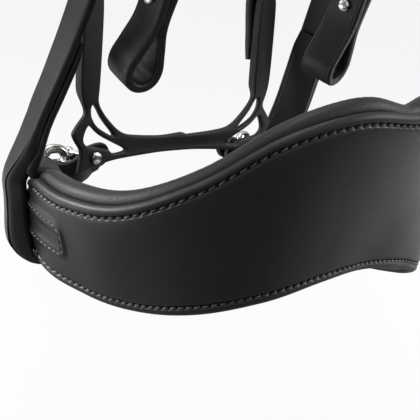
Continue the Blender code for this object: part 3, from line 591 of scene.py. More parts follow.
def stitch(mesh, place, ahead, up, length, radius=thread_radius, slant=0.14):
    # One sewn stitch: a plump thread whose two ends go down into their holes.
    side = up.cross(ahead)
    ahead = (ahead + side * slant).normalized()
    side = up.cross(ahead)
    rings = []
    for t in (-1.0, -0.86, -0.62, -0.32, 0.0, 0.32, 0.62, 0.86, 1.0):
        sink = 0.00045 * abs(t) ** 5
        middle = place + ahead * (length / 2 * t) + up * (radius * 0.35 - sink)
        r = radius * (0.72 + 0.28 * (1 - t * t))
        rings.append(circle(middle, side, up * 0.85, r, 8))
    skin(mesh, rings)


def stitch_row(mesh, route, start, end, across, pitch=strap_pitch):
    count = max(int(round((end - start) / pitch)), 1)
    for k in range(count):
        place, along, side, up, _, thickness = route.at(start + (end - start) * (k + 0.5) / count)
        stitch(mesh, place + side * across + up * (thickness / 2), along.normalized(), up.normalized(),
               (end - start) / count * thread_share)


def peg(mesh, place, axis, side, radius, length, stretch=1.0, count=16):
    skin(mesh, [circle(place + axis * end, side * stretch, axis.cross(side), radius, count)
                for end in (-length / 2, length / 2)])


def block(mesh, place, one, two, three, low, high):
    corners = []
    for z in (low[2], high[2]):
        for x, y in ((low[0], low[1]), (high[0], low[1]), (high[0], high[1]), (low[0], high[1])):
            corners.append(place + one * x + two * y + three * z)
    skin(mesh, (corners[:4], corners[4:]))


def punched(mesh, cutter):
    # The mesh with the cutter taken away, as a new mesh.
    made = []
    for name, shape in (("leather_to_punch", mesh), ("punch", cutter)):
        bmesh.ops.recalc_face_normals(shape, faces=shape.faces)
        made.append(added(name, mesh_data(name, shape)))
    step = made[0].modifiers.new("punch", "BOOLEAN")
    step.operation, step.object = "DIFFERENCE", made[1]
    for solver in ("EXACT", "FAST"):
        step.solver = solver
        bpy.context.view_layer.update()
        result = bmesh.new()
        result.from_mesh(made[0].evaluated_get(bpy.context.evaluated_depsgraph_get()).to_mesh())
        if len(result.faces) > len(made[0].data.polygons) / 2:
            break
    for thing in made:
        bpy.data.objects.remove(thing, do_unlink=True)
    return result


def wire(name, points, radius, body, stands_for, flip, closed=True, shares=None, ease=4, sides=5):
    fine = eased_points(points, ease, closed)
    data = bpy.data.curves.new(name, "CURVE")
    data.dimensions = "3D"
    data.bevel_depth = radius
    data.bevel_resolution = sides
    data.use_fill_caps = True
    line = data.splines.new("POLY")
    line.points.add(len(fine) - 1)
    for i, point in enumerate(fine):
        line.points[i].co = (*mirror(point, flip), 1)
        if shares:
            line.points[i].radius = share_at(shares, i / ease)
    line.use_cyclic_u = closed
    line.use_smooth = True
    placed(name, data, nickel, body, stands_for)


def turned(profile, place, axis, side, count=28, closed=False):
    # A body of revolution. The profile's points are (radius, distance along the axis).
    return skinned([circle(place + axis * z, side, axis.cross(side), r, count) for r, z in profile], closed)


def rounded_frame(centre, one, two, half_one, half_two, corner, turns):
    points = []
    for sx, sy, start in ((1, 1, 0), (-1, 1, 1), (-1, -1, 2), (1, -1, 3)):
        for k in range(turns + 1):
            angle = (start + k / turns) * pi / 2
            x = sx * (half_one - corner) + corner * cos(angle)
            y = sy * (half_two - corner) + corner * sin(angle)
            points.append(centre + one * x + two * y)
    return points


# ---- Frames of reference, as in the frame's own source ----
crown_under = crown_leather / 2 + gap + pad_thickness
fold_turn = frame_wire + gap + fold_leather / 2
laid_off = strap_thickness / 2 + gap / 2
billet_over = laid_off + strap_thickness + gap
billet_crest = fold_turn + fold_leather / 2 + gap + strap_thickness / 2
far_rise = frame_length * sin(frame_tilt)
billet_entry = far_rise - frame_wire - gap - strap_thickness / 2
keeper_low = -laid_off - strap_thickness / 2 - keeper_room
keeper_high = billet_over + strap_thickness / 2 + keeper_room


def hung(x, y, z):
    return Vector((x, y - nose_setback, z - crown_drop + crown_under))


def tilted(point, tilt=noseband_tilt):
    x, y, z = point
    return x, y * cos(tilt) + z * sin(tilt), z * cos(tilt) - y * sin(tilt)


def nose_turn(direction):
    return Vector(tilted(direction))


def nose(point):
    return hung(*tilted(point))


def from_nose(point):
    return Vector(tilted((point.x, point.y + nose_setback, point.z + crown_drop - crown_under), -noseband_tilt))


def eased(shares, s):
    place = min(abs(s) / share_step, len(shares) - 1.001)
    i = int(place)
    a = shares[i - 1] if i else shares[1]
    b, c = shares[i], shares[i + 1]
    d = shares[i + 2] if i + 2 < len(shares) else 2 * c - b
    return between_four(a, b, c, d, place - i)


def band_frame(s):
    turn = s / noseband_radius
    outward = Vector((sin(turn), -cos(turn), 0))
    along = Vector((cos(turn), sin(turn), 0))
    top = Vector((noseband_radius * sin(turn), noseband_radius * (1 - cos(turn)),
                  -wave_drop * eased(upper_line_shares, s)))
    low = Vector((top.x, top.y, -face_depth * eased(lower_line_shares, s)))
    low -= outward * (tuck_in * eased(tuck_shares, s))
    down = (low - top).normalized()
    out = (outward - down * outward.dot(down)).normalized()
    return top, (low - top).length, along, down, out


def band_point(s, a, b):
    top, _, _, down, out = band_frame(s)
    return nose(top + down * a + out * b)


def tab_middle(deep):
    return deep * 0.46


def sewn_point(s, a, b):
    # A point of the dressed band, whose upper corners sit a little lower at its two ends.
    deep = band_frame(s)[1]
    return band_point(s, a + end_settle * ramp(abs(s), noseband_reach - 0.015, noseband_reach) * (1 - a / deep), b)


# ---- Noseband: stitched outer leather ----
tab_corner = 0.0046
tab_stitch_in = 0.0013


def tab_inside(s, a, deep):
    # How far a point of the face lies inside the rounded end of the tab that is sewn under it.
    u = tab_corner - (abs(s) - tab_start)
    v = tab_corner - (tab_width / 2 + 0.0004 - abs(a - tab_middle(deep)))
    outside = hypot(max(u, 0), max(v, 0))
    return tab_corner - (outside + min(max(u, v), 0))


def dent(s, from_hole):
    # Depth share of the nearest stitch hole, with the holes one pitch apart.
    away = (s / stitch_pitch + 0.5) % 1.0 - 0.5
    return exp(-((away * stitch_pitch / hole_length) ** 2) - (from_hole / hole_width) ** 2)


def face_height(s, a):
    deep = band_frame(s)[1]
    inset = min(a + face_edge, deep + face_edge - a)
    share = min(max(a / deep, 0), 1)
    b = face_bulge * (1 - abs(2 * share - 1) ** 3.2) * (1 - 0.75 * ramp(abs(s), tab_start - 0.022, tab_start))
    near_line = min(abs(a), abs(a - deep))
    b -= (stitch_groove + 0.0001) * exp(-(near_line / 0.0008) ** 2)
    if abs(s) < noseband_reach - 0.006:
        b -= hole_depth * dent(s, near_line)
    inside = tab_inside(s, a, deep)
    if inside > -0.003:
        b += tab_emboss * 1.15 * (ramp(inside, -0.0010, 0.0006) - 0.50 * ramp(inside, 0.0022, 0.0044))
        b -= 0.00034 * exp(-((inside - tab_stitch_in) / 0.00045) ** 2)
    b += 0.00010 * rough((s * 1.0, a, 0), 55.0) + 0.00022 * rough((s, a * 0.6, 1), 22.0)
    if inset < edge_round:
        b -= edge_round - sqrt(max(edge_round ** 2 - (edge_round - inset) ** 2, 0))
    return b


def face_ring(s):
    deep = band_frame(s)[1]
    rise = [edge_round * (1 - cos(radians(15 * k))) for k in range(7)]
    near = [x - face_edge for x in rise] + [-0.0017, -0.0013, -0.00095, -0.0007, -0.00045, -0.0002, 0.0, 0.0002,
                                            0.00045, 0.0007, 0.00095, 0.0013, 0.0018, 0.0026, 0.0035]
    middle = [0.0035 + (deep - 0.0070) * k / 26 for k in range(1, 26)]
    across = near + middle + [deep - x for x in reversed(near)]
    ring = []
    for a in across:
        from_edge = min(a + face_edge, deep + face_edge - a)
        ring.append((sewn_point(s, a, face_height(s, a)), 1.0 - ramp(from_edge, 0.0002, 0.0026)))
    under = -face_leather
    for a, b in ((deep + face_edge, under + 0.0008), (deep + face_edge - 0.0003, under + 0.0002),
                 (deep + face_edge - 0.0009, under), (deep * 0.66, under), (deep * 0.33, under),
                 (-face_edge + 0.0009, under), (-face_edge + 0.0003, under + 0.0002), (-face_edge, under + 0.0008)):
        ring.append((sewn_point(s, a, b), 0.8))
    return ring


def face_stations():
    steps = (0.0, 0.00022, 0.00045, 0.0008, 0.0012, 0.0015, 0.0018, 0.0022, 0.00255, 0.00278)
    count = int(noseband_reach / stitch_pitch)
    places = [k * stitch_pitch + step for k in range(count) for step in steps]
    places = [s for s in places if s < noseband_reach - 0.0004] + [noseband_reach - 0.0003, noseband_reach]
    return [-s for s in reversed(places[1:])] + places


mesh = skinned([face_ring(s) for s in face_stations()])
piece("noseband_outer_leather", mesh, band_leather, stands_for=("noseband_face",), sharp=80)

mesh = bmesh.new()
holes = int((noseband_reach - 0.0085) / stitch_pitch)
for k in range(-holes, holes):
    s = (k + 0.5) * stitch_pitch
    _, deep, _, _, out = band_frame(s)
    for below in (0, 1):
        # The stitches stand a little inside the groove, along the upper or the lower rim.
        before, here, after = (sewn_point(s + d, below * band_frame(s + d)[1], -stitch_groove * 0.8)
                               for d in (-0.0002, 0.0, 0.0002))
        stitch(mesh, here, (after - before).normalized(), nose_turn(out),
               (after - before).length / 0.0004 * stitch_pitch * 0.66)
piece("noseband_edge_stitching", mesh, thread)


def tab_outline_points(flip):
    # Stitch places round the tab: along its lower side, round the end and back along the upper side.
    points = []
    half = tab_width / 2 + 0.0004 - tab_stitch_in
    turn = tab_corner - tab_stitch_in
    end = tab_start + tab_stitch_in
    route = [(noseband_reach - 0.0045, half), (end + turn, half)]
    for k in range(1, 6):
        angle = radians(18 * k)
        route.append((end + turn - turn * sin(angle), half - turn + turn * cos(angle)))
    route += [(s, -v) for s, v in reversed(route)]
    sign = 1 if flip else -1
    spots = [(sign * s, v) for s, v in route]
    lengths = [0.0]
    for (s, v), (t, w) in zip(spots[:-1], spots[1:]):
        lengths.append(lengths[-1] + hypot(t - s, w - v))
    count = int(lengths[-1] / tab_pitch)
    for k in range(count):
        want = lengths[-1] * (k + 0.5) / count
        i = max(j for j in range(len(lengths) - 1) if lengths[j] <= want)
        t = (want - lengths[i]) / (lengths[i + 1] - lengths[i])
        s, v = (spots[i][j] + (spots[i + 1][j] - spots[i][j]) * t for j in (0, 1))
        ds, dv = (spots[i + 1][j] - spots[i][j] for j in (0, 1))
        scale = 0.0002 / hypot(ds, dv)
        a = tab_middle(band_frame(s)[1]) + v
        height = face_height(s, a)
        here = sewn_point(s, a, height)
        there = sewn_point(s + ds * scale, tab_middle(band_frame(s + ds * scale)[1]) + v + dv * scale, height)
        points.append((here, (there - here).normalized(), nose_turn(band_frame(s)[4])))
    return points


for flip, tag in both_sides:
    mesh = bmesh.new()
    for place, ahead, up in tab_outline_points(flip):
        stitch(mesh, place, ahead, up, tab_pitch * thread_share, thread_radius * 0.85)
    piece("crank_tab_stitching" + tag, mesh, thread)


# ---- Noseband: soft lining with its rolled bead ----
def lining_ring(s):
    deep = band_frame(s)[1]
    e, t = face_edge, face_leather + gap
    thin = 1 - end_thinning * ramp(abs(s), thinning_from, thinning_to)
    inward = -t - padding_thickness * thin
    shut = ramp(abs(s), tab_start - 0.007, tab_start - 0.001)
    near_nose = bead_nose_share + (1 - bead_nose_share) * ramp(abs(s), -bead_full_at / 4, bead_full_at)
    pucker = 1 - 0.018 * (0.5 + 0.5 * cos(2 * pi * s / stitch_pitch)) + 0.03 * rough((s, 0.3, 0), 60.0)
    r = bead_radius * thin * (0.8 + 0.2 * near_nose)
    ca, cb = r - e - bead_rise * near_nose, -t - r
    rows = [(ca - r * pucker * sin(radians(-15 + 38 * k)), cb + r * pucker * cos(radians(-15 + 38 * k)))
            for k in range(7)]
    middle, half = tab_middle(deep), tab_width / 2 + 0.0006
    extra = 0.0009 * shut
    rows += [(ca + 0.0052, inward - 0.0006 - extra), (deep * 0.5, inward - 0.0010 - extra),
             (deep + e - 0.0040, inward + 0.0004), (deep + e - 0.0012, inward + 0.0020),
             (deep + e - 0.0004, inward + 0.0035), (deep + e - 0.0013, -t - 0.0003), (deep + e - 0.0026, -t)]
    room = (2 * tab_leather + 2 * gap) * shut
    flat = [(middle + half + 0.0009, -t), (middle + half, -t - room), (middle - half, -t - room),
            (middle - half - 0.0009, -t)]
    soft = eased_points([Vector((a, b, 0)) for a, b in rows], 5)
    return [sewn_point(s, p.x, min(p.y, -t)) for p in soft] + [sewn_point(s, a, b) for a, b in flat]


lining_count = 320
mesh = skinned([lining_ring(noseband_reach * (2 * k / lining_count - 1)) for k in range(lining_count + 1)])
lining = piece("noseband_lining", mesh, lining_leather, stands_for=("noseband_padding",),
               sharp=80)


# ---- Strap lines ----
def crown_points(y):
    spots, outs = [], []
    for k in range(5):
        angle = k * pi / 8
        spots.append(hung(-crown_half_width * sin(angle), y, side_drop + crown_rise * cos(angle)))
        outs.append(Vector((-sin(angle) * crown_rise, 0, cos(angle) * crown_half_width)).normalized())
    return spots, outs


def strap_line(y_top, rows, ends=()):
    # Rows below the crown: sideways, backward from the strap's place on the crown, upward, outward direction.
    spots, outs = crown_points(y_top)
    for x, y, z, out in rows:
        spots.append(hung(x, y_top + y, z))
        outs.append(Vector(out).normalized())
    for spot, out in ends:
        spots.append(spot)
        outs.append(out)
    return Line(spots, outs)


hanger_y = nose_setback
cheek_y = hanger_y - strap_spacing
jowl_y = hanger_y + strap_spacing
side = crown_half_width
deep_end = band_frame(-loop_at)[1]
loop_middle = -(face_leather + gap + padding_thickness) / 2
loop_out = nose_turn(band_frame(-loop_at)[4])
hanger_line = strap_line(hanger_y, (
    (-side, 0.0015, 0.300, (-1, 0, 0)), (-side - 0.0005, 0.003, 0.235, (-1, 0, 0)),
    (-0.0550, 0.006, 0.150, (-1, 0, 0)), (-0.0575, 0.014, 0.080, (-1, 0.08, 0)),
    (-0.0608, 0.0245, 0.022, (-0.97, 0.20, 0)), (-0.0632, 0.0330, -0.019, (-0.92, 0.38, 0))),
    [(band_point(-loop_at, a, loop_middle), loop_out)
     for a in (-0.004, 0.003, deep_end / 2, deep_end, deep_end + 0.010)])
cheek_line = strap_line(cheek_y, (
    (-side, 0.0005, 0.300, (-1, 0, 0)), (-side + 0.0005, 0.0015, 0.235, (-1, 0, 0)),
    (-0.0508, 0.006, 0.150, (-1, 0, 0)), (-0.0498, 0.014, 0.080, (-1, 0.05, 0)),
    (-0.0494, 0.026, 0.022, (-1, 0.15, 0)), (-0.0496, 0.033, -0.008, (-1, 0.2, 0))))

tab_depth = -(face_leather + gap + tab_leather + gap / 2)
tab_spots, tab_outs = [], []
for s in (tab_start + 0.0005, tab_start + 0.0075, tab_start + 0.0155, tab_start + 0.0235, noseband_reach):
    tab_spots.append(band_point(-s, tab_middle(band_frame(s)[1]), tab_depth))
    tab_outs.append(nose_turn(band_frame(-s)[4]))
tab_ahead = nose_turn((-cos(noseband_turn), sin(noseband_turn), 0))
tab_inward = nose_turn((sin(noseband_turn), cos(noseband_turn), 0))
tab_end = tab_spots[-1] + nose_turn((0, 0, -tab_fall))
tab_spots += [tab_end + tab_ahead * tab_lead, tab_end + tab_ahead * tab_lead * 2 + tab_inward * tab_turn_in]
tab_outs += [(tab_ahead * 0.09 - tab_inward).normalized(), (tab_ahead * 0.20 - tab_inward).normalized()]
tab_line = Line(tab_spots, tab_outs)
ring_at = tab_line.length() - 0.0020
outer_bar = tab_line.at(ring_at)[0]
outer_spot = from_nose(outer_bar)
inner_spot = outer_spot + Vector((cos(ring_lean), -sin(ring_lean), 0)) * ring_span
stud_spot = inner_spot + Vector((stud_across_step, -stud_forward_step, stud_up_step))
plate_setback = stud_spot.y
plate_reach = -stud_spot.x / stud_across_share
plate_middle = stud_spot.z + stud_drop_share * plate_reach
plate_back = plate_setback + plate_thickness / 2
jowl_lap = plate_back + gap + strap_thickness / 2
arm_across = plate_reach * 0.892
jowl_line = strap_line(jowl_y, (
    (-side, 0.001, 0.300, (-1, 0, 0)), (-side + 0.0005, 0.003, 0.235, (-1, 0, 0)),
    (-0.0510, 0.008, 0.150, (-1, 0.05, 0)), (-0.0490, 0.0155, 0.100, (-0.82, 0.55, 0)),
    (-0.0465, 0.0220, 0.060, (-0.35, 0.93, 0))),
    [(nose((-arm_across, jowl_lap, plate_middle + plate_reach * x)), nose_turn((0, 1, 0))) for x in (0.80, 0.48, 0.16)])
cheek_hinge = cheek_line.lowered_to(hung(0, 0, cheek_buckle_height).z)
jowl_hinge = jowl_line.lowered_to(hung(0, 0, jowl_buckle_height).z)
hanger_hinge = hanger_line.lowered_to(hung(0, 0, hanger_buckle_height).z)
hinges = ((cheek_line, cheek_hinge), (hanger_line, hanger_hinge), (jowl_line, jowl_hinge))


# A strap's path is rows of: distance along its line, offset outward, and shares of its width and thickness.
def half_turn(s, radius, way, *shares):
    # The strap goes half way round a bar.
    return [(s + way * radius * sin(pi * k / 6), way * radius * cos(pi * k / 6), *shares) for k in range(7)]


def arc_point(end, length, off, least_width, thinning, steps):
    # The strap's end is cut to an arc.
    return [(end - length * (1 - t), off, max(sqrt(1 - t ** 2), least_width), 1.0 - thinning * t ** 4) for t in steps]


def lower_fold(hinge):
    skived = fold_leather / strap_thickness
    half_skived = (1 + skived) / 2
    return [(hinge + lap_length, -laid_off, 0.86, 0.45), (hinge + lap_length - 0.004, -laid_off),
            (hinge + 0.011, -laid_off), (hinge + 0.005, -laid_off * 1.05, 1.0, half_skived),
            *half_turn(hinge, fold_turn, -1, 1.0, skived),
            (hinge + 0.005, laid_off * 1.05, 1.0, half_skived), (hinge + 0.011, laid_off)]


def billet_path(hinge, first):
    rows = [(first - hinge, 0.0), (-0.040, 0.0), (-0.024, billet_entry * 0.6), (-0.0155, billet_entry),
            (-0.0115, billet_entry * 1.1 + 0.0003), (-0.0075, (billet_entry + billet_crest) * 0.47),
            (-0.0035, billet_crest * 0.90), (0.0, billet_crest), (0.004, billet_crest),
            (0.0085, billet_over), (billet_tail - 0.006, billet_over),
            *arc_point(billet_tail, 0.0055, billet_over, 0.16, 0.3, (0.0, 0.25, 0.45, 0.62, 0.76, 0.88, 0.96, 1.0))]
    return moved(rows, hinge)


def moved(rows, s):
    return [(s + row[0], *row[1:]) for row in rows]


def straight(rows, step=0.012):
    # Adds rows between far ones so that the strap follows its line.
    full = []
    for one, two in zip(rows[:-1], rows[1:]):
        one, two = full_row(one), full_row(two)
        full.append(one)
        count = int(abs(two[0] - one[0]) / step)
        for k in range(1, count):
            full.append(tuple(a + (b - a) * k / count for a, b in zip(one, two)))
    full.append(full_row(rows[-1]))
    return full


# ---- Headpiece: crown, three billets on each side, and the crown padding ----
crown_spots, crown_outs = crown_points(hanger_y)
crown_spots.append(hung(-crown_half_width, hanger_y, side_drop - 0.030))
crown_outs.append(Vector((-1, 0, 0)))
crown_line = Line([mirror(p, True) for p in reversed(crown_spots[1:])] + crown_spots,
                  [mirror(p, True) for p in reversed(crown_outs[1:])] + crown_outs)
crown_mid = crown_line.length() / 2
crown_rows = [(crown_mid + crown_reach * (k / 28 - 1), 0.0) for k in range(57)]
mesh, crown_route = strap_mesh(crown_line, crown_rows, crown_width, crown_leather, 0.0003)
headpiece_stitches = bmesh.new()
for across in (-0.0235, 0.0235):
    stitch_row(headpiece_stitches, crown_route, 0.030, crown_route.length() - 0.030, across)
for flip in (False, True):
    for line, hinge in hinges:
        rows = straight(billet_path(hinge, crown_reach - billet_overlap))
        billet = strap_mesh(line, rows, strap_width, strap_thickness)[0]
        holes = bmesh.new()
        place, along, out, across = line.at(hinge)
        lean = (along * 0.93 + out * 0.36).normalized()
        peg(holes, place - along * used_hole_up + out * 0.0034, lean.cross(across), lean, tongue_slot_width / 2, 0.007,
            2.35, 24)
        for step in (-2, -1, 1):
            there, along, out, across = line.at(hinge - used_hole_up + step * hole_spacing)
            peg(holes, there + out * (billet_over if step > 0 else 0.0), out, along, hole_radius, 0.009)
        billet = flipped(punched(billet, holes), flip)
        data = mesh_data("billet", billet)
        mesh.from_mesh(data)
        bpy.data.meshes.remove(data)
piece("headpiece_leather", mesh, strap_leather, stands_for=("headpiece",), sharp=60)
piece("headpiece_stitching", headpiece_stitches, thread)

# Half of the padding's section, in shares of its width and depth: flat above, with a channel below.
half_section = ((0.42, 0), (0.485, -0.18), (0.5, -0.5), (0.47, -0.82), (0.36, -0.97), (0.16, -0.90), (0.05, -0.68))
section = [Vector((x, y, 0)) for x, y in half_section]
section += [mirror(p, True) for p in reversed(section)]
fine_section = [section[-1]] + eased_points(section[:-1], 4)
rings = []
for k in range(121):
    share = k / 60 - 1
    squash = sqrt(max(1 - abs(share) ** 6, 0.06))
    place, along, out, across = crown_line.at(crown_mid + pad_reach * share)
    deep = pad_thickness * squash
    wide = pad_width * (0.88 + 0.12 * squash)
    pull = 1 + 0.02 * cos(2 * pi * pad_reach * share / 0.008)
    rings.append([place + across * (wide * p.x)
                  + out * (-crown_leather / 2 - gap + deep * p.y * (pull if p.y < -0.7 else 1)) for p in fine_section])
pad = piece("headpiece_lining", skinned(rings), lining_leather,
            stands_for=("headpiece_padding",), sharp=70)


# ---- Browband ----
brow_z = hung(0, 0, browband_height).z
turn_clear = strap_thickness / 2 + 0.0006 + strap_thickness / 2
brow_front = cheek_y - strap_width / 2 - 0.004
brow_back = jowl_y + strap_width / 2 + 0.0036 + strap_thickness / 2


def plan(x, y):
    return Vector((x, y - nose_setback, brow_z))


half_loop = [plan(-side + turn_clear - 0.0005, brow_front - 0.0160)]
for y in (brow_front - 0.004, brow_front + 0.008, hanger_y, brow_back - 0.004):
    half_loop.append(plan(-side + turn_clear, y))
for k in range(1, 6):
    angle = pi * k / 6
    half_loop.append(plan(-side + turn_clear * cos(angle), brow_back - 0.004 + turn_clear * sin(angle)))
half_loop += [plan(-side - turn_clear, brow_back - 0.004), plan(-side - turn_clear, hanger_y),
              plan(-side - turn_clear, brow_front + 0.008), plan(-side - turn_clear * 0.95, brow_front - 0.004)]
lap_out = -side + turn_clear - strap_thickness - gap * 2 - 0.0006
half_loop.append(plan(lap_out, brow_front - 0.0160))
bow_depth = browband_reach - 0.030
for k in range(1, 8):
    angle = pi / 2 * k / 7
    half_loop.append(plan(lap_out * cos(angle), brow_front - 0.016 - bow_depth * sin(angle)))
widths = [0.72 if i < len(half_loop) - 8 else 0.72 + 0.28 * min((i - len(half_loop) + 8) / 3, 1)
          for i in range(len(half_loop))]
loop_points = half_loop + [mirror(p, True) for p in reversed(half_loop[:-1])]
loop_widths = widths + list(reversed(widths[:-1]))
fine_points = eased_points([Vector((p.x, p.y, 0)) for p in loop_points], 8)
rings, brow_frames = [], []
for i, p in enumerate(fine_points):
    before, after = fine_points[max(i - 1, 0)], fine_points[min(i + 1, len(fine_points) - 1)]
    along = (after - before).normalized()
    up = Vector((0, 0, 1))
    out = along.cross(up)
    share = share_at(loop_widths, i / 8)
    place = Vector((p.x, p.y, brow_z))
    outline = strap_outline(browband_width * share / 2, strap_thickness / 2, crease_depth)
    rings.append([(place + up * x - out * y, mark) for x, y, mark in outline])
    brow_frames.append((place, along, -out, browband_width * share))
piece("browband_leather", skinned(rings), strap_leather, stands_for=("browband",), sharp=60)
mesh = bmesh.new()
travelled, next_at = 0.0, 0.002
for one, two in zip(brow_frames[:-1], brow_frames[1:]):
    travelled += (two[0] - one[0]).length
    if travelled >= next_at:
        next_at += strap_pitch
        if one[0].y < plan(0, brow_front - 0.012).y:
            for edge in (-1, 1):
                stitch(mesh, one[0] + Vector((0, 0, edge * (one[3] / 2 - 0.0022))) + one[2] * (strap_thickness / 2),
                       one[1], one[2], strap_pitch * thread_share)
piece("browband_stitching", mesh, thread)


# ---- Buckles, keepers and runners ----
def leather_piece(what, mesh, flip, tag, holes=None, body="bridle"):
    if holes is not None:
        mesh = punched(mesh, holes)
    piece(what + "_leather" + tag, flipped(mesh, flip), strap_leather, body, stands_for=(what + tag,), sharp=60)


def metal_piece(what, mesh, flip, tag, body="bridle"):
    piece(what + "_metal" + tag, flipped(mesh, flip), nickel, body, (what + tag,), 40)


def buckle(kind, line, hinge, flip, tag):
    place, along, out, across = line.at(hinge)
    away = along * -cos(frame_tilt) + out * sin(frame_tilt)
    half = strap_width / 2 + frame_side_room + frame_wire
    ring = rounded_frame(place + away * (frame_length / 2), away, across, frame_length / 2, half, frame_corner, 5)
    wire(kind + "_buckle_metal" + tag, ring, frame_wire, "bridle", (kind + "_buckle" + tag + "_frame",), flip, ease=2)
    # The tongue is bent round the frame's bar and lies on its far side.
    turn = frame_wire + tongue_play + tongue_wire
    angles = [radians(235 - 285 / 8 * k) for k in range(9)]
    rest = far_rise + frame_wire + gap + tongue_wire
    reach = frame_length * cos(frame_tilt)
    prong = ((0.0030, 0.0022, 1.0), (0.0046, 0.0042, 1.0), (0.0064, rest * 0.99, 0.98), (0.0090, rest * 1.03, 0.92),
             (reach, rest, 0.86), (reach + 0.0017, rest - 0.0003, 0.75))
    points = [place + along * (turn * sin(angle)) + out * (turn * cos(angle)) for angle in angles]
    points += [place - along * x + out * y for x, y, _ in prong]
    wire(kind + "_tongue_metal" + tag, points, tongue_wire, kind + "_tongue" + tag,
         (kind + "_buckle" + tag + "_tongue",), flip, False, [1.0] * len(angles) + [share for _, _, share in prong])


def keeper(what, body, line, spot, flip, tag):
    # A narrow band of leather round the strap.
    place, along, out, across = line.at(spot)
    middle = place + out * ((keeper_low + keeper_high) / 2)
    points = rounded_frame(middle, across, out, strap_width / 2 + keeper_room + keeper_leather / 2,
                           (keeper_high - keeper_low) / 2 + keeper_leather / 2, 0.0010 + keeper_leather / 2, 4)
    fine = eased_points(points, 3, closed=True)
    rings = []
    for i, point in enumerate(fine):
        ahead = (fine[(i + 1) % len(fine)] - fine[i - 1]).normalized()
        up = ahead.cross(along)
        if up.dot(point - middle) < 0:
            up = -up
        outline = strap_outline(keeper_length / 2, keeper_leather / 2, 0.00010)
        rings.append([(point + along * x + up * y, mark) for x, y, mark in outline])
    leather_piece(what, skinned(rings, closed=True), flip, tag, body=body)


def folded_strap(what, line, hinge, rows, flip, tag, sewing, stud_at=None):
    # A strap folded round its buckle's bar, with a slot for the tongue and its folded end sewn back.
    mesh, route = strap_mesh(line, rows, strap_width, strap_thickness)
    holes = bmesh.new()
    place, along, out, across = line.at(hinge)
    turn, half_slot = fold_turn + fold_leather, tongue_slot_width / 2
    block(holes, place, along, across, out, (-turn - 0.001, -half_slot, -turn), (turn * 0.95, half_slot, turn))
    if stud_at:
        place, along, out, _ = line.at(stud_at)
        peg(holes, place, out, along, stud_post + gap, 0.012, count=24)
    leather_piece(what, mesh, flip, tag, holes)
    place, _, out, _ = line.at(hinge + 0.018)
    start = route.nearest(place + out * laid_off)
    for across_at in (-0.0047, 0.0047):
        stitch_row(sewing, route, start, start + fold_stitch_row, across_at)
    return route


# Cheekpiece with its bit loop.
bit_turn = 0.0055
cheek_end = cheek_line.length() - 0.0075
cheek_rows = straight([
    *lower_fold(cheek_hinge), (cheek_hinge + 0.050, laid_off),
    *moved([(-0.030, laid_off), (-0.015, laid_off), (-0.007, bit_turn * 0.72), *half_turn(0.0, bit_turn, 1),
            (-0.007, -bit_turn * 0.72), (-0.015, -laid_off), (-0.030, -laid_off), (-0.044, -laid_off),
            (-0.048, -laid_off, 0.86, 0.5)], cheek_end)])

# Noseband hanger: down the outside of the noseband's end, under it, up its inside and over its top.
loop_s = hanger_line.length() - deep_end - 0.010
bottom = loop_s + band_frame(-loop_at + strap_width * loop_width_share / 2)[1]
outer_off = -loop_middle + loop_stand + strap_thickness / 2
thin_padding = padding_thickness * (1 - end_thinning)
inner_off = face_leather + thin_padding + 0.0022 + loop_middle + loop_room + strap_thickness / 2
w, d = loop_width_share, loop_thick_share * 1.55
belly = 0.0008
hanger_rows = [
    *straight([*lower_fold(hanger_hinge), (hanger_hinge + 0.045, laid_off)]),
    *moved([(-0.105, laid_off), (-0.075, laid_off), (-0.050, laid_off), (-0.036, laid_off * 1.4),
            (-0.022, outer_off * 0.50), (-0.012, outer_off * 0.64, 0.94, 2.0), (-0.006, outer_off * 0.85, w, 2.35),
            (-0.001, outer_off + belly * 0.6, w, d), (0.006, outer_off + belly * 0.95, w, d),
            (deep_end / 2, outer_off + belly, w, d)], loop_s),
    *moved([(-0.003, outer_off + belly * 0.3, w, d * 1.15), (0.0002, outer_off * 0.90, w, 2.15),
            (0.0030, outer_off * 0.70, w, 1.25), (0.0046, outer_off * 0.45, w, 0.72),
            (0.0050, outer_off * 0.12, w, 0.70), (0.0048, -inner_off * 0.34, w, 0.72),
            (0.0038, -inner_off * 0.78, w, 0.8), (0.0006, -inner_off, w, 0.9)], bottom),
    *moved([(deep_end / 2, -inner_off - 0.0012, w), (0.008, -inner_off, w), (0.0020, -inner_off, w),
            (-0.0022, -inner_off * 0.86, w, 0.9), (-0.0044, -inner_off * 0.52, w, 0.8), (-0.0046, -0.0004, 0.95, 1.20),
            (-0.0046, outer_off * 0.36, 0.96, 1.70), (-0.0130, outer_off * 0.60 - 0.0030, 0.98, 0.8),
            (-0.022, outer_off * 0.50 - 0.0030, 1, 0.8), (-0.036, laid_off * 1.4 - 0.0030, 1, 0.8),
            (-0.048, laid_off - 0.0028, 1, 0.65), (-0.054, laid_off - 0.0024, 0.9, 0.36)], loop_s)]

# Jowl strap, sewn behind the arm of the jaw plate.
jowl_end = jowl_line.length()
jowl_rows = straight([
    *lower_fold(jowl_hinge), (jowl_hinge + 0.050, laid_off),
    *moved([(-0.110, laid_off * 0.6), (-0.090, 0.0), (-0.070, 0.0), (-0.052, 0.0), (-0.038, 0.0, 0.92, 1.0),
            (-0.026, 0.0, 0.80, 1.0), (-0.006, 0.0, 0.72, 1.0), (0.0, 0.0, 0.62, 0.7)], jowl_end)])

# Crank tab folded round the ring.
tab_turn = ring_wire + gap + tab_leather / 2
tab_off = tab_leather / 2 + gap / 2
sewn = [tab_line.lengths[line_steps * k] for k in range(5)]
tab_rows = [*((s, tab_off) for s in sewn), (ring_at - 0.0045, tab_turn * 0.72, 0.94),
            *half_turn(ring_at, tab_turn, 1, 0.88),
            (ring_at - 0.0045, -tab_turn * 0.72, 0.94), *((s, -tab_off) for s in reversed(sewn))]

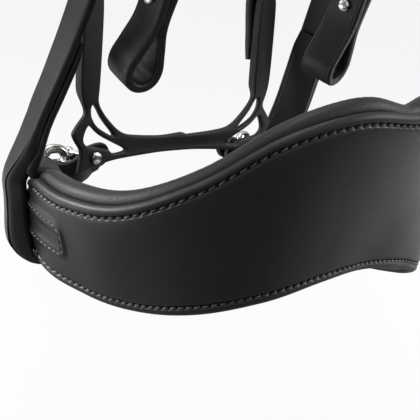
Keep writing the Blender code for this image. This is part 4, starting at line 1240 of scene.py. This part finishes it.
# Leg strap, doubled back round the ring's roller.
leg_line = Line([nose(stud_spot + Vector(step)) for step in (
    (-0.0090, 0.0106, -0.0068), (-0.0050, 0.0088, -0.0068), (-0.0010, 0.0066, -0.0048),
    (0.0035, 0.0056, -0.0020), (0.0095, 0.0054, -0.0006), (0.0165, 0.0054, -0.0002))],
    [nose_turn(out) for out in ((0.45, 0.89, 0), (0.45, 0.89, 0), (0.3, 0.95, 0), (0, 1, 0), (0, 1, 0), (0, 1, 0))])
bar_s = leg_line.lengths[line_steps]
bar_spot = leg_line.at(bar_s)[0]
leg_turn = ring_wire + roller_play + roller_wall + gap + leg_strap_leather / 2
leg_off = leg_strap_leather / 2 + gap / 2

# Crank ring and roller.
upright = nose_turn((0, 0, 1))
reach = bar_spot - outer_bar
reach -= upright * reach.dot(upright)
pull = reach.normalized()
crank_ring = rounded_frame(outer_bar + reach * 0.5 + upright * ring_lift, pull, upright, reach.length / 2,
                           ring_inner_height / 2 + ring_wire, ring_corner, 6)
inner, outer = ring_wire + roller_play, ring_wire + roller_play + roller_wall
tall = leg_strap_width / 2 + roller_side_room
roller_profile = [(inner, -tall + 0.0002), (inner + 0.0002, -tall), (outer - 0.0002, -tall), (outer, -tall + 0.0002),
                  (outer - 0.00008, -tall + 0.0009), (outer, -tall + 0.0016), (outer, tall - 0.0016),
                  (outer - 0.00008, tall - 0.0009), (outer, tall - 0.0002), (outer - 0.0002, tall),
                  (inner + 0.0002, tall), (inner, tall - 0.0002)]

# Studs: a mushroom head on each side of the bit loop, and a ball behind the leg strap.
stud_place, stud_axis = nose(stud_spot), nose_turn((0, 1, 0))
top_face = laid_off + strap_thickness / 2 + gap
hook_profile = [(stud_post * 0.3, -top_face - 0.0012), (stud_head * 0.8, -top_face - 0.0011),
                (stud_head, -top_face - 0.0007), (stud_head, -top_face), (stud_post, -top_face),
                (stud_post, top_face), (stud_head, top_face)]
hook_profile += [(stud_head * cos(radians(a)), top_face + 0.0004 + 0.0011 * sin(radians(a))) for a in range(0, 90, 15)]
front = -plate_thickness / 2 - gap
rear = 0.0078 + leg_off + leg_strap_leather / 2 + 0.0007
stud_profile = [(stud_post * 0.4, front - 0.0010), (stud_head * 0.72, front - 0.0009),
                (stud_head * 0.93, front - 0.0006), (stud_head, front), (stud_post, front), (stud_post, rear)]
stud_profile += [(stud_ball * cos(radians(a)), rear + 0.0018 + stud_ball * 0.98 * sin(radians(a)))
                 for a in (-52, -35, -18, 0, 18, 35, 52, 66, 78)]

for (flip, tag), tail in zip(both_sides, leg_strap_tails):
    sewing = bmesh.new()
    hook_at = cheek_end - 0.024
    folded_strap("cheekpiece", cheek_line, cheek_hinge, cheek_rows, flip, tag, sewing, hook_at)
    place, along, out, _ = cheek_line.at(hook_at)
    metal_piece("hook_stud", turned(hook_profile, place, out, along), flip, tag)
    folded_strap("noseband_hanger", hanger_line, hanger_hinge, hanger_rows, flip, tag, sewing)
    route = folded_strap("jowl_strap", jowl_line, jowl_hinge, jowl_rows, flip, tag, sewing)
    for across_at in (-0.0034, 0.0034):
        stitch_row(sewing, route, route.length() - 0.024, route.length() - 0.003, across_at, tab_pitch)
    for kind, (line, hinge) in zip(("cheek", "hanger", "jowl"), hinges):
        buckle(kind, line, hinge, flip, tag)
        keeper(kind + "_keeper", "bridle", line, hinge + first_keeper, flip, tag)
        keeper(kind + "_runner", kind + "_runner" + tag, line, hinge + second_keeper, flip, tag)
    leather_piece("crank_tab", strap_mesh(tab_line, tab_rows, tab_width, tab_leather, 0.00008)[0], flip, tag)
    wire("crank_ring_metal" + tag, crank_ring, ring_wire, "bridle", ("crank_ring" + tag,), flip, ease=2, sides=7)
    metal_piece("crank_roller", turned(roller_profile, bar_spot, upright, pull, 32, True), flip, tag,
                "crank_roller" + tag)
    leg_rows = moved([
        (0.0140, -leg_off, 0.8, 0.6), (0.0120, -leg_off), (0.0085, -leg_off * 1.05), (0.0060, -leg_off * 2.0),
        (0.0032, -leg_turn * 0.92), *half_turn(0.0, leg_turn, -1), (0.0034, leg_turn * 0.97), (0.0062, leg_off * 2.3),
        (0.0092, leg_off * 1.05), (tail - 0.0045, leg_off),
        *arc_point(tail, 0.0045, leg_off, 0.2, 0.2, (0.3, 0.55, 0.75, 0.9, 0.98, 1.0))], bar_s)
    holes = bmesh.new()
    peg(holes, stud_place + stud_axis * 0.006, stud_axis, upright, stud_post + gap, 0.020, count=24)
    mesh = strap_mesh(leg_line, leg_rows, leg_strap_width, leg_strap_leather, 0.00010)[0]
    leather_piece("leg_strap", mesh, flip, tag, holes)
    metal_piece("stud", turned(stud_profile, stud_place, stud_axis, upright), flip, tag)
    piece("strap_stitching" + tag, flipped(sewing, flip), thread)


# ---- Jaw plate: one flat piece with softened cut edges ----
plate_soft = 0.0007
web_thinning = 0.0018
shape = bpy.data.curves.new("jaw_plate_outline", "CURVE")
shape.dimensions = "2D"
shape.fill_mode = "BOTH"
shape.extrude = plate_thickness / 2 - plate_soft
shape.bevel_depth = plate_soft
shape.bevel_resolution = 3
shape.offset = -plate_soft


def rounded(rows):
    # Cuts the corners of an outline three times over.
    for near, far in ((0.22, 0.78), (0.25, 0.75), (0.25, 0.75)):
        soft = []
        for i, (x, y) in enumerate(rows):
            u, v = rows[(i + 1) % len(rows)]
            soft += [(x * far + u * near, y * far + v * near), (x * near + u * far, y * near + v * far)]
        rows = soft
    return rows


def outline_from(rows):
    line = shape.splines.new("POLY")
    line.points.add(len(rows) - 1)
    for i, (x, y) in enumerate(rows):
        line.points[i].co = (x * plate_reach, y * plate_reach, 0, 1)
    line.use_cyclic_u = True


left_half = [(-x, y) for x, y in reversed(plate_outline_shares[1:])]
outline_from(rounded(list(plate_outline_shares) + list(plate_bump_shares) + left_half))
for sign in (1, -1):
    for opening in (plate_slot_shares, plate_triangle_shares):
        outline_from(rounded([(sign * x, y) for x, y in opening]))
    hole = (stud_post + gap) / plate_reach
    outline_from([(sign * stud_across_share + hole * cos(pi * k / 12), -stud_drop_share + hole * sin(pi * k / 12))
                  for k in range(24)])
flat = added("jaw_plate_flat", shape)
plate_centre = nose((0, plate_setback, plate_middle))
flat.location = plate_centre
flat.rotation_euler = (pi / 2 - noseband_tilt, 0, 0)
bpy.context.view_layer.update()
data = bpy.data.meshes.new_from_object(flat.evaluated_get(bpy.context.evaluated_depsgraph_get()))
data.transform(flat.matrix_world)
bpy.data.objects.remove(flat, do_unlink=True)
mesh = bmesh.new()
mesh.from_mesh(data)
bmesh.ops.remove_doubles(mesh, verts=mesh.verts, dist=0.00001)
layer = mesh.verts.layers.float.new("edge")
facing, upward = nose_turn((0, 1, 0)), nose_turn((0, 0, 1))
for vert in mesh.verts:
    depth, height = (vert.co - plate_centre).dot(facing), (vert.co - plate_centre).dot(upward) / plate_reach
    vert[layer] = 1.0 - ramp(abs(depth), plate_thickness / 2 - plate_soft, plate_thickness / 2 - 0.00002)
    if depth > 0:
        vert.co -= facing * (web_thinning * ramp(-height, 0.02, 0.15))
piece("jaw_plate_leather", mesh, plate_leather, stands_for=("jaw_plate",), sharp=55)


# ---- Camera, fitted to the photograph's view ----
picture_width, focal_length, sensor_width = 420, 1338.8, 36.0
camera_spot = (-0.3505, -0.2399, 0.0521)
azimuth, fall, roll = radians(46.971), radians(11.327), radians(4.509)
look = Vector((sin(azimuth) * cos(fall), cos(azimuth) * cos(fall), -sin(fall)))
right = look.cross(Vector((0, 0, 1))).normalized()
above = right.cross(look)
image_right = right * cos(roll) + above * sin(roll)
image_up = above * cos(roll) - right * sin(roll)
columns = [nose_turn(v) for v in (image_right, image_up, -look)]
place = nose(camera_spot)
lens = bpy.data.cameras.new("photograph_view")
lens.sensor_width = sensor_width
lens.lens = sensor_width * focal_length / picture_width
lens.clip_start = 0.01
camera = added("photograph_view", lens)
camera.matrix_world = Matrix([[columns[j][i] for j in range(3)] + [place[i]] for i in range(3)] + [[0, 0, 0, 1]])
studio.camera = camera


# ---- Pale floor, light and background ----
floor_white, floor_white_share, mirrored_share, air_strength = 1.12, 0.80, 0.7, 0.04
floor_drop = 0.075
floor_half = 6.0

floor_finish = bpy.data.materials.new("pale_studio_floor")
nodes = Nodes(floor_finish)
seen = nodes.node("ShaderNodeLightPath").outputs
matt = nodes.node("ShaderNodeBsdfDiffuse", None, {"Color": (0.18, 0.18, 0.184, 1)})
white = nodes.node("ShaderNodeEmission", None, {"Color": (1, 1, 1, 1), "Strength": floor_white})
share = nodes.node("ShaderNodeMath", dict(operation="MULTIPLY"), {0: seen["Is Camera Ray"], 1: floor_white_share})
both = nodes.node("ShaderNodeMixShader", None, {0: share.outputs[0], 1: matt.outputs[0], 2: white.outputs[0]})
nodes.node("ShaderNodeOutputMaterial", None, {"Surface": both.outputs[0]})
mesh = bmesh.new()
low = cad_low.z - floor_drop
for x, y in ((-1, -1), (1, -1), (1, 1), (-1, 1)):
    mesh.verts.new((x * floor_half, y * floor_half, low))
mesh.faces.new(mesh.verts)
ground = added("studio_floor", mesh_data("studio_floor", mesh))
ground.data.materials.append(floor_finish)

# The camera and glass see a white surround, mirror images see most of it, and the leather gets a little of its light.
studio.world = bpy.data.worlds.new("studio_air")
nodes = Nodes(studio.world)
seen = nodes.node("ShaderNodeLightPath").outputs
air = nodes.node("ShaderNodeBackground", None, {"Color": (0.86, 0.90, 1.0, 1), "Strength": air_strength})
backdrop = nodes.node("ShaderNodeBackground", None, {"Color": (1, 1, 1, 1), "Strength": 1.0})
straight_on = nodes.node("ShaderNodeMath", dict(operation="MAXIMUM"),
                         {0: seen["Is Camera Ray"], 1: seen["Is Transmission Ray"]})
mirrored = nodes.node("ShaderNodeMath", dict(operation="MULTIPLY_ADD", use_clamp=True),
                      {0: seen["Is Glossy Ray"], 1: mirrored_share, 2: straight_on.outputs[0]})
both = nodes.node("ShaderNodeMixShader", None, {0: mirrored.outputs[0], 1: air.outputs[0], 2: backdrop.outputs[0]})
nodes.node("ShaderNodeOutputWorld", None, {"Surface": both.outputs[0]})

aim = Vector((0.0, -0.030, -0.345))


def soft_lamp(name, place, facing, size, power):
    lamp = bpy.data.lights.new(name, "AREA")
    lamp.shape = "SQUARE"
    lamp.size = size
    lamp.energy = power
    made = added(name, lamp)
    made.location = place
    made.rotation_mode = "QUATERNION"
    made.rotation_quaternion = facing.to_track_quat("Z", "Y")
    made.visible_camera = False


def around(turn):
    # The level direction at so many degrees from the nose, counted toward the right.
    return Vector((sin(radians(turn)), -cos(radians(turn)), 0))


def object_lamp(name, turn, rise, distance, size, power):
    away = around(turn) * cos(radians(rise)) + Vector((0, 0, sin(radians(rise))))
    soft_lamp(name, aim + away * distance, away, size, power)


def floor_lamp(name, turn, power, distance=0.55, height=0.28, size=0.35):
    # Lights the floor beside the bridle, which the leather mirrors.
    place = aim + around(turn) * distance
    place.z = low + height
    soft_lamp(name, place, Vector((0, 0, 1)) - around(turn) * 0.25, size, power)


floor_lamp("back_left_floor_lamp", -135, 25.0)
floor_lamp("right_floor_lamp", 40, 6.5)
floor_lamp("far_right_floor_lamp", 75, 9.5)
object_lamp("front_right_lamp", 45, 31, 0.95, 0.50, 5.5)
object_lamp("back_left_lamp", -150, 8, 0.80, 0.30, 0.6)
object_lamp("overhead_lamp", -157, 69, 1.50, 1.00, 12.0)

studio.view_settings.view_transform = "Standard"
